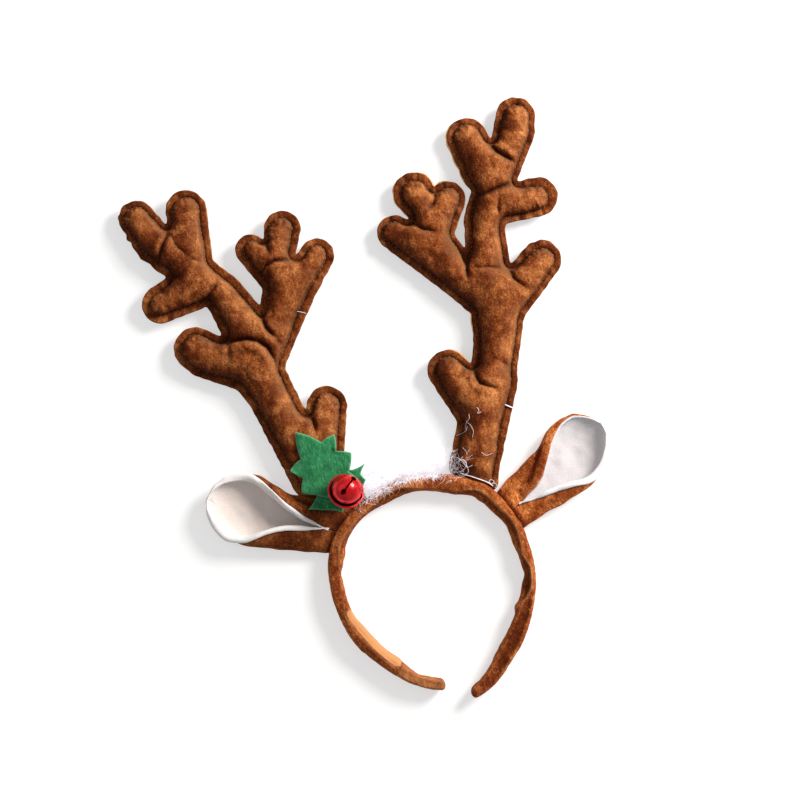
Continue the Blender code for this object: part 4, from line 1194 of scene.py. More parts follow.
def ear_arc(row, inset):
    """Across and height of one folded section, on a smaller ellipse for an inner face."""
    _, low, high, low_turn, high_turn, half_depth, lift = row
    turn = np.radians(np.linspace(-low_turn, high_turn, EAR_ARC_POINTS))
    width = np.where(turn < 0.0, low, high)
    width = width * np.exp(-inset / width)
    depth = half_depth * math.exp(-inset / half_depth)
    return np.column_stack((width * np.sin(turn), lift + half_depth - depth * np.cos(turn)))


def ear_edges(row):
    """Each edge of the folded section: its index, its place, and the ways past and out of it."""
    back = ear_arc(row, 0.0)
    for end, before, side in ((0, 1, -1.0), (-1, -2, 1.0)):
        up = unit(back[end] - back[before])
        yield end, back[end], up, np.array((up[1], -up[0])) * side


def ear_section(row, inset):
    """A folded section whose edges are cut square to the cloth."""
    section = ear_arc(row, inset)
    for end, edge, _, out in ear_edges(row):
        section[end] = edge - out * inset
    return section


def lining_section(row, high_roll, high_back):
    """Outer and inner face of the lining's section, with its edges rolled outwards."""
    inset = EAR_CLOTH + LINING_GAP
    outer, inner = ear_section(row, inset), ear_section(row, inset + LINING_CLOTH)
    span = abs(outer[-1][0] - outer[0][0])
    full_roll = min(max(ROLL_SHARE * span + ROLL_MORE, ROLL_LEAST), ROLL_RADIUS)
    for end, edge, up, out in ear_edges(row):
        high = end == -1
        roll = full_roll * (high_roll if high else 1.0)
        back = high_back * min(span / ROLL_FULL_SPAN, 1.0) if high else 0.0
        past = edge + up * (LINING_GAP - back)
        over = ROLL_OVER * roll if back == 0.0 else -inset
        outer_roll = [past - out * inset, past + out * over]
        for rise, bulge in ROLL_OUTER:
            outer_roll.append(past + up * rise * roll + out * (over + bulge * roll))
        inside = past - out * (inset + LINING_CLOTH)
        inner_roll = [inside, inside + up * ROLL_START * roll]
        for rise, turned_in, cloth in ROLL_INNER:
            place = past + (up * rise - out * turned_in) * roll
            inner_roll.append(place - out * EAR_CLOTH * cloth - out * back * ROLL_KEPT_BACK)
        if end == 0:
            outer, inner = np.vstack((outer_roll[::-1], outer)), np.vstack((inner_roll[::-1], inner))
        else:
            outer, inner = np.vstack((outer, outer_roll)), np.vstack((inner, inner_roll))
    return outer, inner


def rounded(ring, times):
    """A closed ring with its corners cut, as often as asked."""
    for _ in range(times):
        after = np.roll(ring, -1, axis=0)
        ring = np.stack((0.75 * ring + 0.25 * after, 0.25 * ring + 0.75 * after), axis=1)
        ring = ring.reshape(-1, ring.shape[-1])
    return ring


def loft_folded(rings):
    """Triangles of a tube through rings, each end closed by strips between its two faces."""
    rows, count = len(rings), len(rings[0])
    index = np.arange(rows * count).reshape(rows, count)
    after = np.roll(index, -1, axis=1)
    faces = two_triangles(index[:-1], after[:-1], after[1:], index[1:])
    near = np.arange(count // 2 - 1)
    for row, flip in ((index[0], True), (index[-1], False)):
        for cap in two_triangles(row[near], row[near + 1], row[count - 2 - near], row[count - 1 - near]):
            faces.append(cap[:, ::-1] if flip else cap)
    return np.concatenate(rings), np.concatenate(faces)


def outwards(points, faces):
    """Faces turned over if the body's volume comes out negative."""
    a, b, c = (points[faces[:, k]] for k in range(3))
    volume = np.einsum("ij,ij->i", a, np.cross(b, c)).sum()
    return faces if volume > 0.0 else faces[:, ::-1]


def ear_stations(rows, start):
    """Rows at even steps between the table's rows, closer together at the tip."""
    table = np.array(rows)
    last = table[-1, 0]
    near_tip = last - TIP_STRETCH * (1 - np.linspace(0, 1, TIP_STATIONS)) ** TIP_CLOSER
    along = np.concatenate((np.arange(start, last - TIP_STRETCH, EAR_STEP), near_tip))
    columns = [smooth_column(along, table[:, 0], table[:, k]) for k in range(1, table.shape[1])]
    return np.column_stack((along, *columns))


def press(points, dents):
    """Lower the upper side of a fold along paths, and raise it where a depth is negative."""
    points = points.copy()
    facing = smooth_step(points[:, 2], *UPPER_SIDE)
    for depth, width, *path in dents:
        away, share, _ = path_distance(points[:, :2], plan(path))
        points[:, 2] -= depth * fading(share, 0.05) * facing * hill(away, width)
    return points


def crumple(points, ear, seed):
    """Push a fold's cloth in and out without changing its thickness."""
    root, _, across = ear_frame(ear)
    sideways = (points[:, :2] - root) @ across
    out = unit(np.column_stack((sideways, points[:, 2] - FOLD_MIDDLE)))
    swell = CRUMPLE * ripples(points, seed, CRUMPLES)
    moved = points.copy()
    moved[:, :2] += (out[:, :1] * across) * swell[:, None]
    moved[:, 2] += out[:, 1] * swell
    moved[:, 2] = np.maximum(moved[:, 2], 0.05)
    return moved


def flat_cut(grid):
    """Area and length in metres of a cloth, from a grid of points over one of its faces."""
    a, b = grid[1:, :-1] - grid[:-1, :-1], grid[:-1, 1:] - grid[:-1, :-1]
    area = np.linalg.norm(np.cross(a, b), axis=-1).sum() * MM**2
    length = np.linalg.norm(np.diff(grid, axis=0), axis=-1).sum(axis=0).max() * MM
    return area, length


LEFT_DENTS = (
    # depth, width, pixels
    (-1.5, 2.2, (262, 477), (276, 490), (292, 506)),
    (2.8, 3.0, (296, 497), (307, 504), (318, 511)),
    (-1.2, 2.0, (281, 484), (296, 492), (308, 499)),
    (1.2, 2.5, (256, 478), (268, 490), (281, 503)),
)
RIGHT_DENTS = (
    # depth, width, pixels
    (1.6, 1.7, (541, 446), (536, 459), (532, 472), (526, 487)),
    (-1.4, 2.4, (555, 440), (551, 456), (545, 474), (536, 488)),
    (-1.0, 3.0, (543, 449), (534, 464), (527, 479)),
    (1.3, 2.4, (517, 489), (522, 500), (519, 508)),
)
LEFT_LINING_DENTS = (
    # depth, width, pixels
    (0.9, 2.5, (262, 500), (285, 518), (305, 527)),
)
RIGHT_LINING_DENTS = (
    # depth, width, pixels
    (-1.3, 2.4, (578, 424), (569, 448), (556, 478), (540, 497)),
    (0.8, 3.0, (566, 430), (562, 452), (552, 476)),
    (-1.1, 2.4, (597, 469), (578, 478), (558, 490)),
)
# Painted shadow on the ear's root, where it meets the band
ROOT_SHADE = 0.85
ROOT_SHADE_WIDTH = 2.4
# Painted shade along folds in the brown cloth
LEFT_CREASE_SHADE = (
    # strength, width, pixels
    (0.55, 2.6, (299, 499), (308, 504), (318, 509), (333, 508)),
    (0.35, 2.2, (258, 479), (270, 492), (284, 505)),
    (0.35, 3.0, (282, 540), (285, 530)), (0.30, 3.0, (309, 548), (311, 536)),
)
RIGHT_CREASE_SHADE = (
    # strength, width, pixels
    (1.4, 1.5, (541, 446), (536, 459), (532, 472), (526, 487)),
    (0.6, 3.0, (539, 452), (533, 466), (525, 492)),
    (0.5, 2.4, (499, 497), (508, 508), (519, 522)),
    (0.3, 3.0, (556, 500), (559, 494)),
)


def ear_cloth(ear, stations, section, corner_cuts, measured):
    """Points and triangles of one cloth, and the area and length of its measured face."""
    rings, face = [], []
    for row in stations:
        outer, inner = section(row)
        ring = rounded(np.vstack((outer, inner[::-1])), corner_cuts)
        rings.append(place_ear(ear, row[0], ring))
        face.append(place_ear(ear, row[0], (outer, inner)[measured]))
    return *loft_folded(rings), *flat_cut(np.array(face))


def build_ear(side, ear, rows, dents, lining_dents, creases, brown, white, seed):
    """The brown cloth, folded round at its root, and the white cloth inside it."""

    def brown_section(row):
        return ear_section(row, 0.0), ear_section(row, EAR_CLOTH)

    def white_section(row):
        return lining_section(row, ear["high_roll"], ear["high_back"])

    points, faces, area, length = ear_cloth(ear, ear_stations(rows, EAR_ROOT), brown_section, 1, 0)
    points = press(crumple(points, ear, seed), dents)
    name = f"ear_{side}_outer"
    # Painted shade along the folds
    shade = np.zeros(len(points))
    for strength, width, *path in creases:
        away, share, _ = path_distance(points[:, :2], plan(path))
        shade = np.maximum(shade, strength * fading(share, 0.1) * hill(away, width))
    shade = shade * smooth_step(points[:, 2], *CREASED_SIDE)
    # Painted shadow at the root next to the band
    root_shade = ROOT_SHADE * hill(np.maximum(band_outside(points[:, :2]), 0.0), ROOT_SHADE_WIDTH)
    marks = {"shade": np.clip(np.maximum(shade, root_shade), 0.0, 1.0)}
    piece = mesh_object(name + "_cloth", points, outwards(points, faces), brown, marks)
    dress(piece, "brown_velvet", name)

    points, faces, area, length = ear_cloth(ear, ear_stations(rows, LINING_START), white_section, 2, 1)
    points = press(crumple(points, ear, seed), dents + lining_dents)
    name = f"ear_{side}_lining"
    # Low in the fold: painted shade and bounced brown light, with the brown cloth showing through
    marks = {"hollow": 1.0 - smooth_step(points[:, 2], *HOLLOW_SPAN)}
    piece = mesh_object(name + "_cloth", points, outwards(points, faces), white, marks)
    dress(piece, "white_cloth", name)


# Head band

BAND_STEP = 0.65
BAND_SIDES = 60
BAND_END_ROUNDING = 3.0
BAND_SQUARENESS = 2.7
BAND_FACES = (
    # angle, width of the loose cloth inside the fold, how far it lies below, dish, darker
    (-174.0, 0.0, 0.0, 0.9, 0.00), (-150.0, 0.0, 0.0, 0.9, 0.05), (-144.0, 2.0, 1.0, 0.3, 0.3),
    (-140.0, 4.0, 1.6, 0.0, 0.2), (-115.0, 4.3, 1.7, 0.0, 0.4), (-94.0, 3.6, 1.6, 0.0, 0.3),
    (-88.0, 1.6, 0.8, 0.4, 0.35), (-72.0, 0.4, 0.0, 0.6, 0.45), (-62.0, 1.0, 0.8, 0.3, 0.5),
    (-52.0, 2.6, 2.2, 0.0, 0.45), (-40.0, 1.0, 1.4, 0.0, 0.2), (-28.0, 1.0, 1.4, 0.0, 0.1),
    (-20.0, 3.2, 3.2, 0.0, 0.0), (-12.0, 4.4, 3.8, 0.0, 0.0), (-4.0, 4.2, 3.6, 0.0, 0.0),
    (4.0, 1.6, 1.6, 0.0, 0.0), (14.0, 0.6, 0.0, 0.0, 0.0), (30.0, 1.2, 1.0, 0.0, 0.0),
    (38.0, 3.6, 2.0, 0.0, 0.0), (50.0, 4.2, 2.3, 0.0, 0.0), (64.0, 3.8, 2.2, 0.0, 0.0),
    (76.0, 3.0, 1.8, 0.0, 0.1), (84.0, 1.2, 1.0, 0.2, 0.2), (92.0, 4.4, 3.2, 0.0, 0.3),
    (104.0, 4.6, 3.2, 0.2, 0.4), (112.0, 1.2, 1.0, 1.2, 0.6), (122.0, 0.0, 0.0, 1.8, 0.75),
    (150.0, 0.0, 0.0, 1.8, 0.7), (166.0, 0.0, 0.0, 1.0, 0.5), (173.6, 0.0, 0.0, 0.3, 0.5),
)
SLEEVE_TOP = (4.5, 9.0)
FOLD_SPAN = (-0.9, 0.7)
RIDGE = 0.5
RIDGE_PLACE = 1.6
RIDGE_WIDTH = 1.2
DISH_WIDTH = 0.62
BAND_FLOOR_SOFTNESS = 0.2
BAND_END_PALE = 0.14
RIDGE_LIGHT = 0.22
FULL_FALL = 3.0  # how far a fold lies below for its full shade
FOLD_SHADE = 0.5
LOOSE_SHADE = 0.15
FACE_SHADE = 0.8
DASH_WIDTH = 1.5
# Wavelength and size of the creases along the sleeve, and of those across it
LONG_CREASE = (8.0, 0.28)
CROSS_CREASES = ((7.0, 0.08), (3.4, 0.05))
ALONG_SHARE = 0.28  # creases are drawn out along the sleeve
ROUND_RADIUS = 5.0
BAND_ROUNDS = 9
LEAST_SHARE_SQUARED = 0.0025
BARE_SPAN = (-143.0, -92.0)
BARE_FADE = 1.5
MARK_EDGE = 0.3
UPPER_HALF = (5.0, 7.0)
CREST = (10.0, 11.2)
FOLD_SHADE_WIDTH = 0.8
LIT_PLACE = 1.5
FACE_HALF = 0.72
BARE_DASHES = (
    # middle angle, half length in degrees
    (-94.5, 1.7), (-103.0, 2.4), (-119.0, 1.9), (-129.5, 3.4),
)
KINKS = (
    # pixel x, pixel y, how far the edge stands out, half width
    (481, 497, 1.2, 3.0), (348, 555, 1.5, 3.2), (341, 574, -1.2, 4.0), (525, 575, -1.6, 3.4),
    (519, 608, 1.8, 3.6), (372, 525, 1.0, 4.0), (398, 660, 0.9, 4.0), (420, 672, -0.8, 4.0),
)


def band_face(angle, column):
    """One column of the table of the band's faces, at angles in degrees."""
    table = np.array(BAND_FACES)
    return np.interp(angle, table[:, 0], table[:, column])


def band_ring(angle, share):
    """Points of the sleeve's section at an angle: radius and height, from outside over the top."""
    inner, outer = band_radius(angle, 1), band_radius(angle, 2)
    flap, fall, dish = (float(band_face(angle, column)) for column in (1, 2, 3))
    middle = (inner + outer) / 2
    turn = (np.arange(BAND_SIDES) + 0.5) * 2 * np.pi / BAND_SIDES
    cos, sin = np.cos(turn), np.sin(turn)
    across = np.sign(cos) * np.abs(cos) ** (2 / BAND_SQUARENESS)
    height = np.sign(sin) * np.abs(sin) ** (2 / BAND_SQUARENESS)
    radius = middle + across * (outer - inner) / 2 * share
    z = BAND_DEPTH * (0.5 + 0.5 * height * share)
    # The loose cloth lies a step lower on the inside of the loop, below a rounded ridge
    over = smooth_step(z, *SLEEVE_TOP) * (sin > 0.0)
    drop = smooth_step(inner + flap - radius, *FOLD_SPAN)
    ridge = RIDGE * min(1.0, fall / 2.0) * hill(radius - inner - flap - RIDGE_PLACE, RIDGE_WIDTH)
    hollow = dish * np.clip(1.0 - (across / DISH_WIDTH) ** 2, 0.0, 1.0)
    return radius, z + over * (ridge - drop * fall - hollow)


def build_band():
    """The velvet sleeve, loose round its strip, with a ridge, a lower fold and small kinks."""
    first, last = BAND_ROWS[0][0], BAND_ROWS[-1][0]
    mean_radius = np.mean([row[1:] for row in BAND_ROWS])
    rounding = math.degrees(BAND_END_ROUNDING / mean_radius)
    count = round(math.radians(last - first) * mean_radius / BAND_STEP)
    ends = rounding * (1.0 - np.cos(np.linspace(0.0, math.pi / 2, BAND_ROUNDS)))[1:]
    middle = np.linspace(first + rounding, last - rounding, count)
    stations = np.concatenate((first + rounding - ends[::-1], middle, last - rounding + ends))
    stations = np.concatenate(((first + 0.02,), stations[1:-1], (last - 0.02,)))
    rings = []
    for angle in stations:
        past = max(first + rounding - angle, angle - last + rounding, 0.0) / rounding
        radius, z = band_ring(angle, math.sqrt(max(1.0 - past * past, LEAST_SHARE_SQUARED)))
        turn = math.radians(angle)
        rings.append(np.column_stack((radius * math.sin(turn), radius * math.cos(turn), z)))
    points, faces = loft_folded(rings)
    angle, radius = round_loop(points)
    inner, outer = band_radius(angle, 1), band_radius(angle, 2)
    radial = unit(points[:, :2])
    centre = (inner + outer) / 2
    offset = radius - centre
    # Long creases run along the sleeve, and short ones across it where it is bunched
    walked = np.radians(angle) * mean_radius
    around = np.arctan2(points[:, 2] - BAND_DEPTH / 2, offset)
    spot = (walked * ALONG_SHARE, ROUND_RADIUS * np.cos(around), ROUND_RADIUS * np.sin(around))
    swell = LONG_CREASE[1] * ripple(np.column_stack(spot), LONG_CREASE[0], 51)
    for k, (wavelength, size) in enumerate(CROSS_CREASES):
        swell = swell + size * ripple(points, wavelength, 52 + k)
    out = unit(np.column_stack((offset, points[:, 2] - BAND_DEPTH / 2)))
    for x, y, size, width in KINKS:
        away = np.linalg.norm(points[:, :2] - plan((x, y)), axis=1)
        swell = swell + size * hill(away, width) * (offset < 0.0)
    points[:, :2] += radial * (out[:, :1] * swell[:, None])
    points[:, 2] += out[:, 1] * swell
    points[:, 2] = 0.5 * (points[:, 2] + np.sqrt(points[:, 2] ** 2 + BAND_FLOOR_SOFTNESS))
    # Marks: the bare edge strip with its worn dashes, painted shade in the inner fold and on the loose cloth
    # below it, darker faces, a lighter upper side at the left end, and a painted highlight on the ridge
    # beside the fold
    radius = np.hypot(points[:, 0], points[:, 1])
    flap, fall, dark = (band_face(angle, column) for column in (1, 2, 4))
    upper = smooth_step(points[:, 2], *UPPER_HALF)
    first_bare, last_bare = BARE_SPAN
    span = smooth_step(angle, first_bare - BARE_FADE, first_bare)
    span = span * smooth_step(-angle, -last_bare - BARE_FADE, -last_bare)
    bare = span * upper * smooth_step(inner + flap - radius, -MARK_EDGE, MARK_EDGE)
    dashed = smooth_step(inner + DASH_WIDTH - radius, -MARK_EDGE, MARK_EDGE)
    crest = smooth_step(points[:, 2], *CREST)
    for middle_angle, half in BARE_DASHES:
        dash = smooth_step(half - np.abs(angle - middle_angle), -MARK_EDGE, MARK_EDGE)
        bare = bare * (1.0 - dash * dashed * crest)
    fallen = np.minimum(fall / FULL_FALL, 1.0)
    fold = hill(radius - inner - flap, FOLD_SHADE_WIDTH) * fallen
    loose = smooth_step(inner + flap - radius, 0.0, FOLD_SHADE_WIDTH) * fallen
    across = (radius - centre) / ((outer - inner) / 2)
    face = dark * smooth_step(FACE_HALF - np.abs(across), 0.0, MARK_EDGE)
    shade = np.clip(FOLD_SHADE * fold + LOOSE_SHADE * loose + FACE_SHADE * face, 0.0, 1.0)
    shade = shade * upper * (1.0 - bare)
    end_pale = BAND_END_PALE * smooth_step(-angle, -first_bare, 4.0 - first_bare) * upper
    lit = RIDGE_LIGHT * hill(radius - inner - flap - LIT_PLACE, FOLD_SHADE_WIDTH) * fallen * upper
    marks = {"bare": bare, "shade": shade, "pale": np.maximum(end_pale, lit)}
    piece = mesh_object("band_sleeve", points, outwards(points, faces), BAND_LIT_VELVET, marks)
    return dress(piece, "brown_velvet", "headband")


# Holly

LEAF_SPACING = 1.1
LAY_STEPS = 160
LEAF_MARGIN = 4.0
LEAF_BOW = 0.05  # how far each side bows inwards, in shares of its length
LEAF_NOTCH = -0.12
LEAF_WAVE = 0.18
LEAF_CURL = 0.5
LEAF_CURL_WIDTH = 5.0
FELT_GRAIN = 0.05
FELT_ROUNDING = 0.28
CUT_SIDES = 0.65


def lay_over(need, steps):
    """Heights of a stiff cloth that lies on what it must stay above."""
    height = need.copy()
    for _ in range(steps):
        padded = np.pad(height, 1, mode="edge")
        near = padded[:-2, 1:-1] + padded[2:, 1:-1] + padded[1:-1, :-2] + padded[1:-1, 2:]
        height = np.maximum(need, near / 4)
    return height


def build_leaf(name, corners, base, below, seed):
    """A die-cut felt leaf that lies over what is below it: functions of places in the plan."""
    corners = np.array(corners)
    low, high = corners.min(axis=0) - LEAF_MARGIN, corners.max(axis=0) + LEAF_MARGIN
    grid = square_grid(low, high, PLAN_CELL)
    need = np.maximum.reduce([np.full(grid.shape[:2], base)] + [face(grid) + GAP for face in below])
    rest = lay_over(need, LAY_STEPS)
    outline = []
    for start, end in zip(corners, np.roll(corners, -1, axis=0)):
        parts = max(2, round(math.dist(start, end) / LEAF_SPACING))
        share = np.arange(parts)[:, None] / parts
        bow = LEAF_BOW * math.dist(start, end) * 4 * share * (1 - share)
        side = unit(np.array((end - start)[::-1] * (1.0, -1.0)))
        outline.append(start + (end - start) * share - side * bow)
    outline = np.vstack(outline)
    closed = np.vstack((outline, outline[:1]))
    spots = square_grid(low, high, LEAF_SPACING)
    spots[::2, :, 1] += LEAF_SPACING / 2
    spots = spots.reshape(-1, 2)
    spots = spots[path_distance(spots, closed)[0] > 0.6 * LEAF_SPACING]
    points, faces = triangulate(outline, [], spots)
    edge_away = path_distance(points, closed)[0]
    lie = read_grid(rest, low, PLAN_CELL, points) + LEAF_WAVE * ripple(points, 18.0, seed)
    curl = LEAF_CURL * smooth_step(-edge_away, -LEAF_CURL_WIDTH, 0.0)
    lie = lie + curl * ripple(points, 15.0, seed + 1) ** 2
    grain = FELT_GRAIN * ripple(points, 2.2, seed + 2)
    rounding = FELT_ROUNDING * hill(edge_away, 0.5)
    upper = lie + FELT + grain - rounding
    body, faces, edge = closed_cloths(points, faces, upper, lie + rounding, LEAF_NOTCH)
    cut = CUT_SIDES * hill(edge_away, 0.55)
    marks = {"cut": np.concatenate((cut, cut, np.ones(len(edge))))}
    piece = mesh_object(name + "_felt", body, faces, FELT_GREEN, marks)
    dress(piece, "green_felt", name)
    upper_faces = faces[faces.max(axis=1) < len(points)]
    area = np.abs(double_areas(points, upper_faces)).sum() / 2 * MM**2
    return lambda places: read_grid(rest, low, PLAN_CELL, places) + FELT + 0.3


def antler_lie(antler):
    """Height of an antler's upper face, low where the plan is outside it."""

    def top(places):
        return np.where(antler.lying(places) > 0.0, antler.heights(places)[0], 0.0)

    return top


# Bell

BELL_CUP = 11.2
BELL_RIM = 12.1
BELL_DOME = 9.9
BELL_DOME_UP = 2.4
BELL_LEAN = 27.0
BELL_LEAN_TOWARDS = 50.0
BELL_SLOT_TOWARDS = 40.0
BELL_SLOT_WIDTH = 1.15
BELL_HOLE_RADIUS = 1.8
BELL_HOLE_OFFSET = 5.9
BELL_WALL = 0.7
BELL_SEGMENTS = 96
BELL_CREASE = 38.0


def bell_profile():
    """Half of the bell's section: lower pole, rim, upper pole, and back inside."""
    lower = np.radians(np.linspace(-90.0, -5.0, 26))
    crimp = np.radians(np.linspace(-85.0, 92.0, 10))
    upper = np.radians(np.linspace(-4.0, 90.0, 28))
    inside = np.radians(np.linspace(90.0, -90.0, 40))
    profile = [(BELL_CUP * math.cos(t), BELL_CUP * math.sin(t)) for t in lower]
    profile += [(BELL_RIM - 0.7 + 0.7 * math.cos(t), -0.3 + 0.75 * math.sin(t)) for t in crimp]
    profile += [(BELL_RIM - 1.2, 0.40), (BELL_DOME - 0.3, 0.35)]
    profile += [(BELL_DOME - 0.6, 0.8), (BELL_DOME - 0.35, 1.3)]
    profile += [(BELL_DOME * math.cos(t), BELL_DOME_UP + BELL_DOME * math.sin(t)) for t in upper]
    inner = BELL_DOME - BELL_WALL
    for t in inside:
        profile.append((inner * math.cos(t), (BELL_DOME_UP if t > 0.0 else 0.0) + inner * math.sin(t)))
    return profile


def turned(profile):
    """Points and triangles of a body of revolution about Z."""
    profile = np.array(profile)
    turn = 2 * np.pi * np.arange(BELL_SEGMENTS) / BELL_SEGMENTS
    x = profile[:, :1] * np.cos(turn)
    y = profile[:, :1] * np.sin(turn)
    z = np.broadcast_to(profile[:, 1:], x.shape)
    points = np.stack((x, y, z), axis=-1)
    index = np.arange(x.size).reshape(x.shape)
    after = np.roll(index, -1, axis=1)
    faces = two_triangles(index[:-1], after[:-1], after[1:], index[1:])
    return points.reshape(-1, 3), np.concatenate(faces)


def bell_turn():
    """The bell leans on the leaves: its axis tips over, with its slot turned round it."""
    towards = Matrix.Rotation(math.radians(BELL_LEAN_TOWARDS), 4, "Z")
    lean = Matrix.Rotation(math.radians(BELL_LEAN), 4, "Y")
    slot = Matrix.Rotation(math.radians(BELL_SLOT_TOWARDS - BELL_LEAN_TOWARDS), 4, "Z")
    return towards @ lean @ slot


def build_bell():
    """A hollow ball of two halves crimped together, pierced by a slot between two round holes."""
    points, faces = turned(bell_profile())
    shell = bpy.data.meshes.new("shell")
    shell.from_pydata(points.tolist(), [], faces.tolist())
    shell_object = bpy.data.objects.new("shell", shell)
    half, hole, reach = BELL_SLOT_WIDTH / 2, BELL_HOLE_RADIUS, BELL_HOLE_OFFSET
    opening = math.asin(half / hole)
    outline = []
    for side in (1.0, -1.0):
        for t in np.linspace(opening - math.pi, math.pi - opening, 25):
            outline.append((side * (reach + hole * math.cos(t)), side * hole * math.sin(t)))
    count = len(outline)
    low, high = BELL_RADIUS * 0.4, BELL_RADIUS * 1.3
    corners = [(x, y, low) for x, y in outline] + [(x, y, high) for x, y in outline]
    walls = [(k, (k + 1) % count, (k + 1) % count + count, k + count) for k in range(count)]
    ends = [tuple(range(count))[::-1], tuple(range(count, 2 * count))]
    cutter = bpy.data.meshes.new("cutter")
    cutter.from_pydata(corners, [], walls + ends)
    cutter_object = bpy.data.objects.new("cutter", cutter)
    for helper in (shell_object, cutter_object):
        bpy.context.scene.collection.objects.link(helper)
    cut = shell_object.modifiers.new("slot", "BOOLEAN")
    cut.operation = "DIFFERENCE"
    cut.object = cutter_object
    cut.solver = "EXACT"
    bpy.context.view_layer.update()
    cut_mesh = shell_object.evaluated_get(bpy.context.evaluated_depsgraph_get()).to_mesh()
    cut_mesh.calc_loop_triangles()
    points = np.array([vertex.co[:] for vertex in cut_mesh.vertices])
    faces = np.array([tuple(triangle.vertices) for triangle in cut_mesh.loop_triangles])
    for helper in (shell_object, cutter_object):
        bpy.data.objects.remove(helper)
    # The groove mark: painted shade in the groove between the rim and the dome
    radius = np.hypot(points[:, 0], points[:, 1])
    groove = smooth_step(BELL_RIM - 0.95 - radius, 0.0, 0.2) * smooth_step(points[:, 2], 0.1, 0.3)
    marks = {"groove": groove * smooth_step(BELL_DOME_UP - points[:, 2], 0.0, 0.6)}
    turn = np.array(bell_turn())[:3, :3]
    piece = mesh_object("bell_shell", points @ turn.T + np.array(BELL_CENTRE), faces, RED_METAL, marks)
    piece.data.set_sharp_from_angle(angle=math.radians(BELL_CREASE))
    return dress(piece, "red_metal", "jingle_bell")


# Loose fibres


def band_top(points):
    """Height of the sleeve's upper side over places in the plan, 0 beside it."""
    angle, radius = round_loop(points)
    inner, outer = band_radius(angle, 1), band_radius(angle, 2)
    across = np.abs(radius - (inner + outer) / 2) / ((outer - inner) / 2)
    height = (1.0 - np.minimum(across, 1.0) ** BAND_SQUARENESS) ** (1 / BAND_SQUARENESS)
    return np.where(across < 1.0, BAND_DEPTH * (0.5 + 0.5 * height), 0.0)


def surface(points):
    """Height of whatever lies highest under places in the plan, antlers or band."""
    tops = [antler_lie(antler)(points) for antler in (LEFT_ANTLER, RIGHT_ANTLER)]
    return np.maximum.reduce([band_top(points)] + tops)


def smooth_line(corners, count):
    """Evenly spaced points of a smooth curve through corners."""
    corners = np.asarray(corners, float)
    walked = walked_along(corners)
    places = np.linspace(0.0, walked[-1], count)
    return np.column_stack([smooth_column(places, walked, column) for column in corners.T])


THREADS = (
    # radius, lift, pixels
    (0.33, 0.2, (460, 473), (468, 475.3), (475, 477.6), (482, 480), (488, 482.6), (493, 486)),
    (
        0.22, 0.5,
        (447, 453), (452, 460), (450, 467), (455, 472), (463, 470), (466, 463), (461, 459), (457, 463),
    ),
    (0.18, 0.9, (457, 461), (455, 468), (460, 475), (468, 472), (466, 464)),
    (0.18, 0.6, (449, 459), (455, 457), (462, 461), (467, 467), (472, 465)),
    (0.15, 0.4, (488, 483), (491, 479.5), (494, 481.5), (491.5, 484.5), (489, 481.5)),
    (0.13, 0.4, (490, 484), (494, 483), (497, 485.5), (495, 488)),
    (0.45, 0.1, (505.3, 404.8), (508.5, 406.2), (512.8, 407.9)),
    (0.20, 0.1, (297.2, 311.3), (301, 312.0), (305.8, 313.4)),
    (0.12, 0.2, (465, 429), (466.5, 422), (469, 418), (468.4, 414)),
    (0.12, 0.3, (466, 421), (470, 425), (473, 431), (472, 437)),
    (0.16, 0.3, (476.4, 407.5), (478.2, 410), (477, 413), (480.5, 412)),
    (0.12, 0.3, (456.4, 435.5), (461, 434), (466, 430), (467, 426)),
    (0.10, 0.2, (481, 452), (486, 455), (492, 453)),
)
THREAD_POINTS = 48
THREAD_GAP = 0.1
THREAD_EASE = 6


def build_threads():
    """Loose ends of sewing thread and lint, lying on what is below them."""
    paths, radii = [], []
    arch = np.sin(np.linspace(0, math.pi, THREAD_POINTS))
    for radius, lift, *pixels in THREADS:
        line = smooth_line(plan(pixels), THREAD_POINTS)
        height = surface(line)
        eased = height
        for _ in range(THREAD_EASE):
            padded = np.pad(eased, 1, mode="edge")
            eased = np.maximum(height, (padded[:-2] + padded[2:]) / 2)
        paths.append(np.column_stack((line, eased + radius + THREAD_GAP + lift * arch)))
        radii.append(np.full(THREAD_POINTS, radius))
    points, faces = tubes(np.array(paths), np.array(radii), THREAD_SIDES)
    return dress(mesh_object("loose_thread", points, faces, WHITE_THREAD), "white_cloth")


FLUFF_SPAN = (-18.5, 19.0)
FLUFF_DEEP = 13.0
FLUFF_HEIGHT = 9.0
FLUFF_STRANDS = 3600
FLUFF_WISPS = 620
FLUFF_TANGLE = 120
FLUFF_CORE_SHARE = 0.92
FLUFF_CORE_ENDS = 1.5
FLUFF_CORE_SIDES = 36
FLUFF_CORE_ROWS = 64
FLUFF_LUMPS = ((9.0, 0.9), (4.0, 0.5))
FLUFF_CENTRE = (0.0, 80.0, 5.0)
FLUFF_TOP = 14.5
FLUFF_FLOOR = 0.4
STRAND_POINTS = 7
STRAND_RADIUS = 0.09
STRAND_LENGTHS = (4.0, 11.0)
STRAND_CURL = 0.35
WISP_LENGTHS = (2.0, 6.5)
WISP_CURL = 0.4
TANGLE_LENGTHS = (3.0, 8.0)
TANGLE_CURL = 0.5
TANGLE_SPREAD = 4.2
TANGLE_SPOTS = (
    # pixel x, pixel y, share of the strands
    (455.0, 463.0, 0.34), (447.0, 470.0, 0.26), (362.0, 478.0, 0.15), (360.0, 497.0, 0.25),
)
LOOSE_SAG = 2.5  # how far a loose strand may hang between what holds it


def polar(angle, radius):
    """Places of the plan at angles in degrees and radii from the loop's middle."""
    turn = np.radians(angle)
    return np.stack((radius * np.sin(turn), radius * np.cos(turn)), axis=-1)


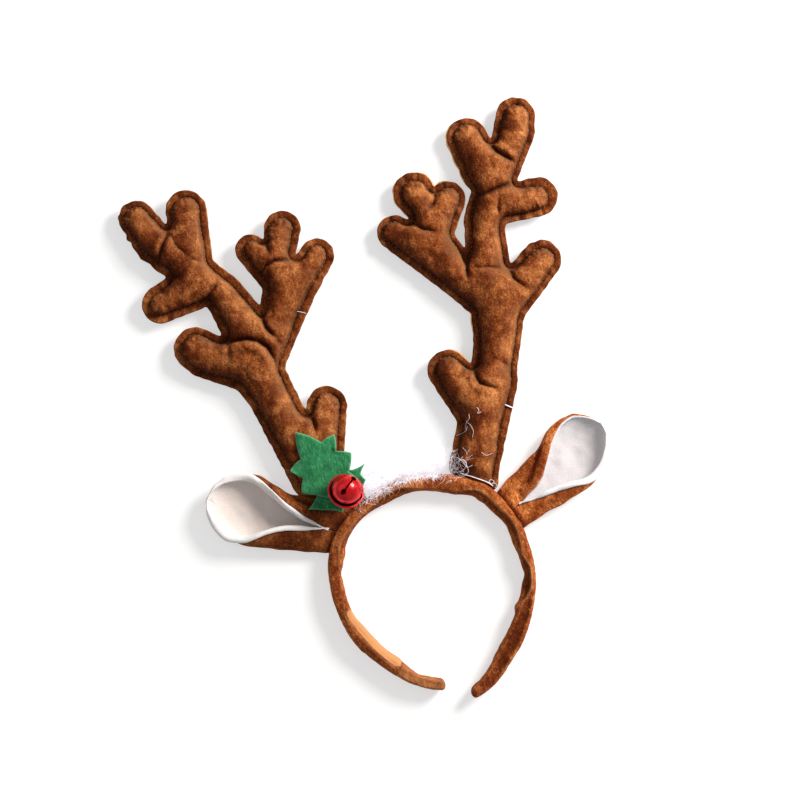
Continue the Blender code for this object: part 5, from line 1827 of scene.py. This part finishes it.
def curled(random, start, way, length, curl):
    """Curved strands from starting points, along their ways, with their own bends."""
    count = len(start)
    t = np.linspace(0.0, 1.0, STRAND_POINTS)[None, :, None]
    side = unit(np.cross(way, unit(random.normal(size=(count, 3)))))
    other = np.cross(way, side)
    bends = random.uniform(-1.0, 1.0, (2, count, 1, 1))
    phase = random.uniform(0.0, math.pi, (count, 1, 1))
    swing = np.sin(2.6 * t + phase) - np.sin(phase)
    length = length[:, None, None]
    bent = side[:, None] * swing * bends[0] + other[:, None] * (t * t) * bends[1]
    return start[:, None] + way[:, None] * t * length + bent * curl * length


def build_fluff():
    """A tuft of white cotton-like fibres, with wisps that stray over the band and an antler."""
    random = np.random.default_rng(91)
    # The tuft's core, a lumpy cushion along the band
    around = 2 * np.pi * np.arange(FLUFF_CORE_SIDES) / FLUFF_CORE_SIDES
    first, last = FLUFF_SPAN
    rings = []
    for share in np.linspace(0.0, 1.0, FLUFF_CORE_ROWS):
        angle = first + FLUFF_CORE_ENDS + (last - first - 2 * FLUFF_CORE_ENDS) * share
        size = math.sqrt(max(1.0 - (2.0 * share - 1.0) ** 4, 0.003))
        outer = band_radius(angle, 2) + GAP
        radius = outer + 0.5 * FLUFF_DEEP * FLUFF_CORE_SHARE * (1.0 + np.cos(around) * size)
        z = FLUFF_FLOOR + 0.5 * FLUFF_HEIGHT * (1.0 + np.sin(around) * size)
        rings.append(np.column_stack((polar(angle, radius), z)))
    points, faces = loft_folded(rings)
    lumps = ripples(points, 92, FLUFF_LUMPS) * smooth_step(band_outside(points[:, :2]), 0.5, 3.0)
    points = points + unit(points - np.array(FLUFF_CENTRE)) * lumps[:, None]
    points[:, 2] = np.maximum(points[:, 2], 0.3)
    piece = mesh_object("fluff_core", points, outwards(points, faces), FLUFF)
    dress(piece, "white_fluff", "fur_trim")

    # Its strands
    angle = random.uniform(first, last, FLUFF_STRANDS)
    depth = FLUFF_DEEP * random.uniform(0.05, 1.0, FLUFF_STRANDS) ** 0.8
    base = polar(angle, band_radius(angle, 2) + GAP + depth)
    height = 1.0 + FLUFF_HEIGHT * np.sqrt(random.uniform(0.05, 1.0, FLUFF_STRANDS))
    outwards_way = unit(base)
    along = np.column_stack((outwards_way[:, 1], -outwards_way[:, 0]))
    mix = random.uniform(-1.0, 1.0, FLUFF_STRANDS)[:, None]
    way = np.column_stack((
        outwards_way * random.uniform(-0.2, 1.0, (FLUFF_STRANDS, 1)) + along * mix * 1.2,
        random.uniform(-0.25, 0.45, FLUFF_STRANDS),
    ))
    length = random.uniform(*STRAND_LENGTHS, FLUFF_STRANDS)
    body = curled(random, np.column_stack((base, height)), unit(way), length, STRAND_CURL)
    body[..., 2] = np.clip(body[..., 2], FLUFF_FLOOR, FLUFF_TOP)

    # Wisps over the band
    angle = random.uniform(first - 2.5, last - 1.0, FLUFF_WISPS)
    start = polar(angle, band_radius(angle, 2) + random.uniform(-1.0, 3.0, FLUFF_WISPS))
    inwards = -unit(start)
    along = np.column_stack((inwards[:, 1], -inwards[:, 0]))
    way = inwards * random.uniform(0.15, 1.0, (FLUFF_WISPS, 1))
    way = way + along * random.uniform(-1.3, 1.3, (FLUFF_WISPS, 1))
    way = unit(np.column_stack((way, 0 * angle)))
    length = random.uniform(*WISP_LENGTHS, FLUFF_WISPS) * random.uniform(0.5, 1.2, FLUFF_WISPS)
    wisps = curled(random, np.column_stack((start, 0 * angle)), way, length, WISP_CURL)

    # A tangle over the foot of the right antler and by the bell
    spot = plan([pixel for *pixel, _ in TANGLE_SPOTS])
    pick = random.choice(len(spot), FLUFF_TANGLE, p=[share for *_, share in TANGLE_SPOTS])
    start = spot[pick] + random.normal(size=(FLUFF_TANGLE, 2)) * TANGLE_SPREAD
    turn = random.uniform(0.0, 2 * math.pi, FLUFF_TANGLE)
    way = np.column_stack((np.cos(turn), np.sin(turn), 0 * turn))
    length = random.uniform(*TANGLE_LENGTHS, FLUFF_TANGLE)
    tangle = curled(random, np.column_stack((start, 0 * turn)), way, length, TANGLE_CURL)
    for loose in (wisps, tangle):
        ground = surface(loose[..., :2])
        ground = np.maximum(ground, ground.max(axis=1, keepdims=True) - LOOSE_SAG)
        loose[..., 2] = ground + 0.3 + random.uniform(0.0, 1.3, (len(loose), 1))
    paths = np.concatenate((body, wisps, tangle))
    taper = np.linspace(1.0, 0.5, STRAND_POINTS)
    radii = STRAND_RADIUS * random.uniform(0.7, 1.3, (len(paths), 1)) * taper
    points, faces = tubes(paths, radii, 3)
    dress(mesh_object("fluff_strands", points, faces, FLUFF), "white_fluff")


# Stage

FLOOR_HALF = 3.0
FLOOR_DROP = -0.0004
FLOOR_GREY = (0.54, 0.54, 0.54)
FLOOR_GLOW = 0.52
WHITE = (1.0, 1.0, 1.0, 1.0)


def build_stage():
    """A pale table, lit faintly from below, so that shadows on it stay soft and light."""
    corners = [(-1, -1), (1, -1), (1, 1), (-1, 1)]
    floor = bpy.data.meshes.new("floor")
    floor.from_pydata([(x * FLOOR_HALF, y * FLOOR_HALF, FLOOR_DROP) for x, y in corners], [], [(0, 1, 2, 3)])
    glow = {"emission_color": WHITE, "emission_strength": FLOOR_GLOW}
    floor.materials.append(Finish("floor_white", FLOOR_GREY, 0.9, specular_ior_level=0.1, **glow).material)
    stage = bpy.data.objects.new("floor", floor)
    bpy.context.scene.collection.objects.link(stage)


def to_photo(right, up, height):
    """A place in the frame from millimetres right of and above the view's middle, and height."""
    centre = plan((400.0, 400.0))
    cos, sin = math.cos(PHOTO_TURN), math.sin(PHOTO_TURN)
    x = centre[0] + right * cos + up * sin
    y = centre[1] - right * sin + up * cos
    return Vector((np.array((x, y, height)) + ORIGIN) * MM)


def area_light(name, place, aim, size, power, colour):
    """A round light that shines from a place towards another."""
    light = bpy.data.lights.new(name, "AREA")
    light.shape = "DISK"
    light.size = size
    light.energy = power
    light.color = colour
    made = bpy.data.objects.new(name, light)
    made.location = place
    made.rotation_euler = (aim - place).to_track_quat("-Z", "Y").to_euler()
    bpy.context.scene.collection.objects.link(made)


VIEW_WIDTH = 800 * PHOTO_MM
CAMERA_HEIGHT = 1500.0
FOCUS_HEIGHT = 10.0
NEAREST_SEEN = 0.05
SENSOR = 36.0
SKY = 0.36
LIGHTS = {
    # right, up and height in millimetres, size in metres, power, colour
    "key": (900.0, 680.0, 700.0, 0.6, 33.0, (1.0, 0.97, 0.93)),
    "fill": (-900.0, 300.0, 1100.0, 1.4, 2.0, (0.95, 0.97, 1.0)),
}


def build_lights_and_camera():
    """A warm key light from the upper right, a faint fill, a white sky and the photograph's view."""
    middle = to_photo(0.0, 0.0, 0.0)
    for name, (right, up, height, size, power, colour) in LIGHTS.items():
        area_light(name, to_photo(right, up, height), middle, size, power, colour)
    world = bpy.data.worlds.new("studio")
    world.use_nodes = True
    background = world.node_tree.nodes["Background"]
    background.inputs["Color"].default_value = WHITE
    background.inputs["Strength"].default_value = SKY
    bpy.context.scene.world = world
    camera = bpy.data.cameras.new("camera")
    camera.sensor_width = SENSOR
    camera.lens = SENSOR * (CAMERA_HEIGHT - FOCUS_HEIGHT) / VIEW_WIDTH
    camera.clip_start = NEAREST_SEEN
    made = bpy.data.objects.new("camera", camera)
    above = Matrix.Translation(to_photo(0.0, 0.0, CAMERA_HEIGHT))
    made.matrix_world = above @ Matrix.Rotation(-PHOTO_TURN, 4, "Z")
    bpy.context.scene.collection.objects.link(made)
    bpy.context.scene.camera = made
    bpy.context.scene.view_settings.view_transform = "Standard"


LEFT_ANTLER = Antler(
    "antler_left", LEFT_LIMBS, LEFT_FOLDS, LEFT_FLANGE, LEFT_WIDTHS, LEFT_RAGGED, LEFT_PALE, 100,
)
RIGHT_ANTLER = Antler(
    "antler_right", RIGHT_LIMBS, RIGHT_FOLDS, RIGHT_FLANGE, RIGHT_WIDTHS, RIGHT_RAGGED, RIGHT_PALE, 200,
)
LEFT_ANTLER.build()
RIGHT_ANTLER.build()
build_ear(
    "left", LEFT_EAR, LEFT_EAR_ROWS, LEFT_DENTS, LEFT_LINING_DENTS, LEFT_CREASE_SHADE,
    LEFT_EAR_SHADED_VELVET, LEFT_WHITE, 31,
)
build_ear(
    "right", RIGHT_EAR, RIGHT_EAR_ROWS, RIGHT_DENTS, RIGHT_LINING_DENTS, RIGHT_CREASE_SHADE,
    RIGHT_EAR_LIT_VELVET, RIGHT_WHITE, 41,
)
build_band()
antler_top = antler_lie(LEFT_ANTLER)
lower_top = build_leaf("holly_leaf_lower", LOWER_LEAF, LOWER_LEAF_BASE, [antler_top], 61)
build_leaf("holly_leaf_upper", UPPER_LEAF, UPPER_LEAF_BASE, [antler_top, lower_top], 71)
build_bell()
build_fluff()
build_threads()
build_stage()
build_lights_and_camera()
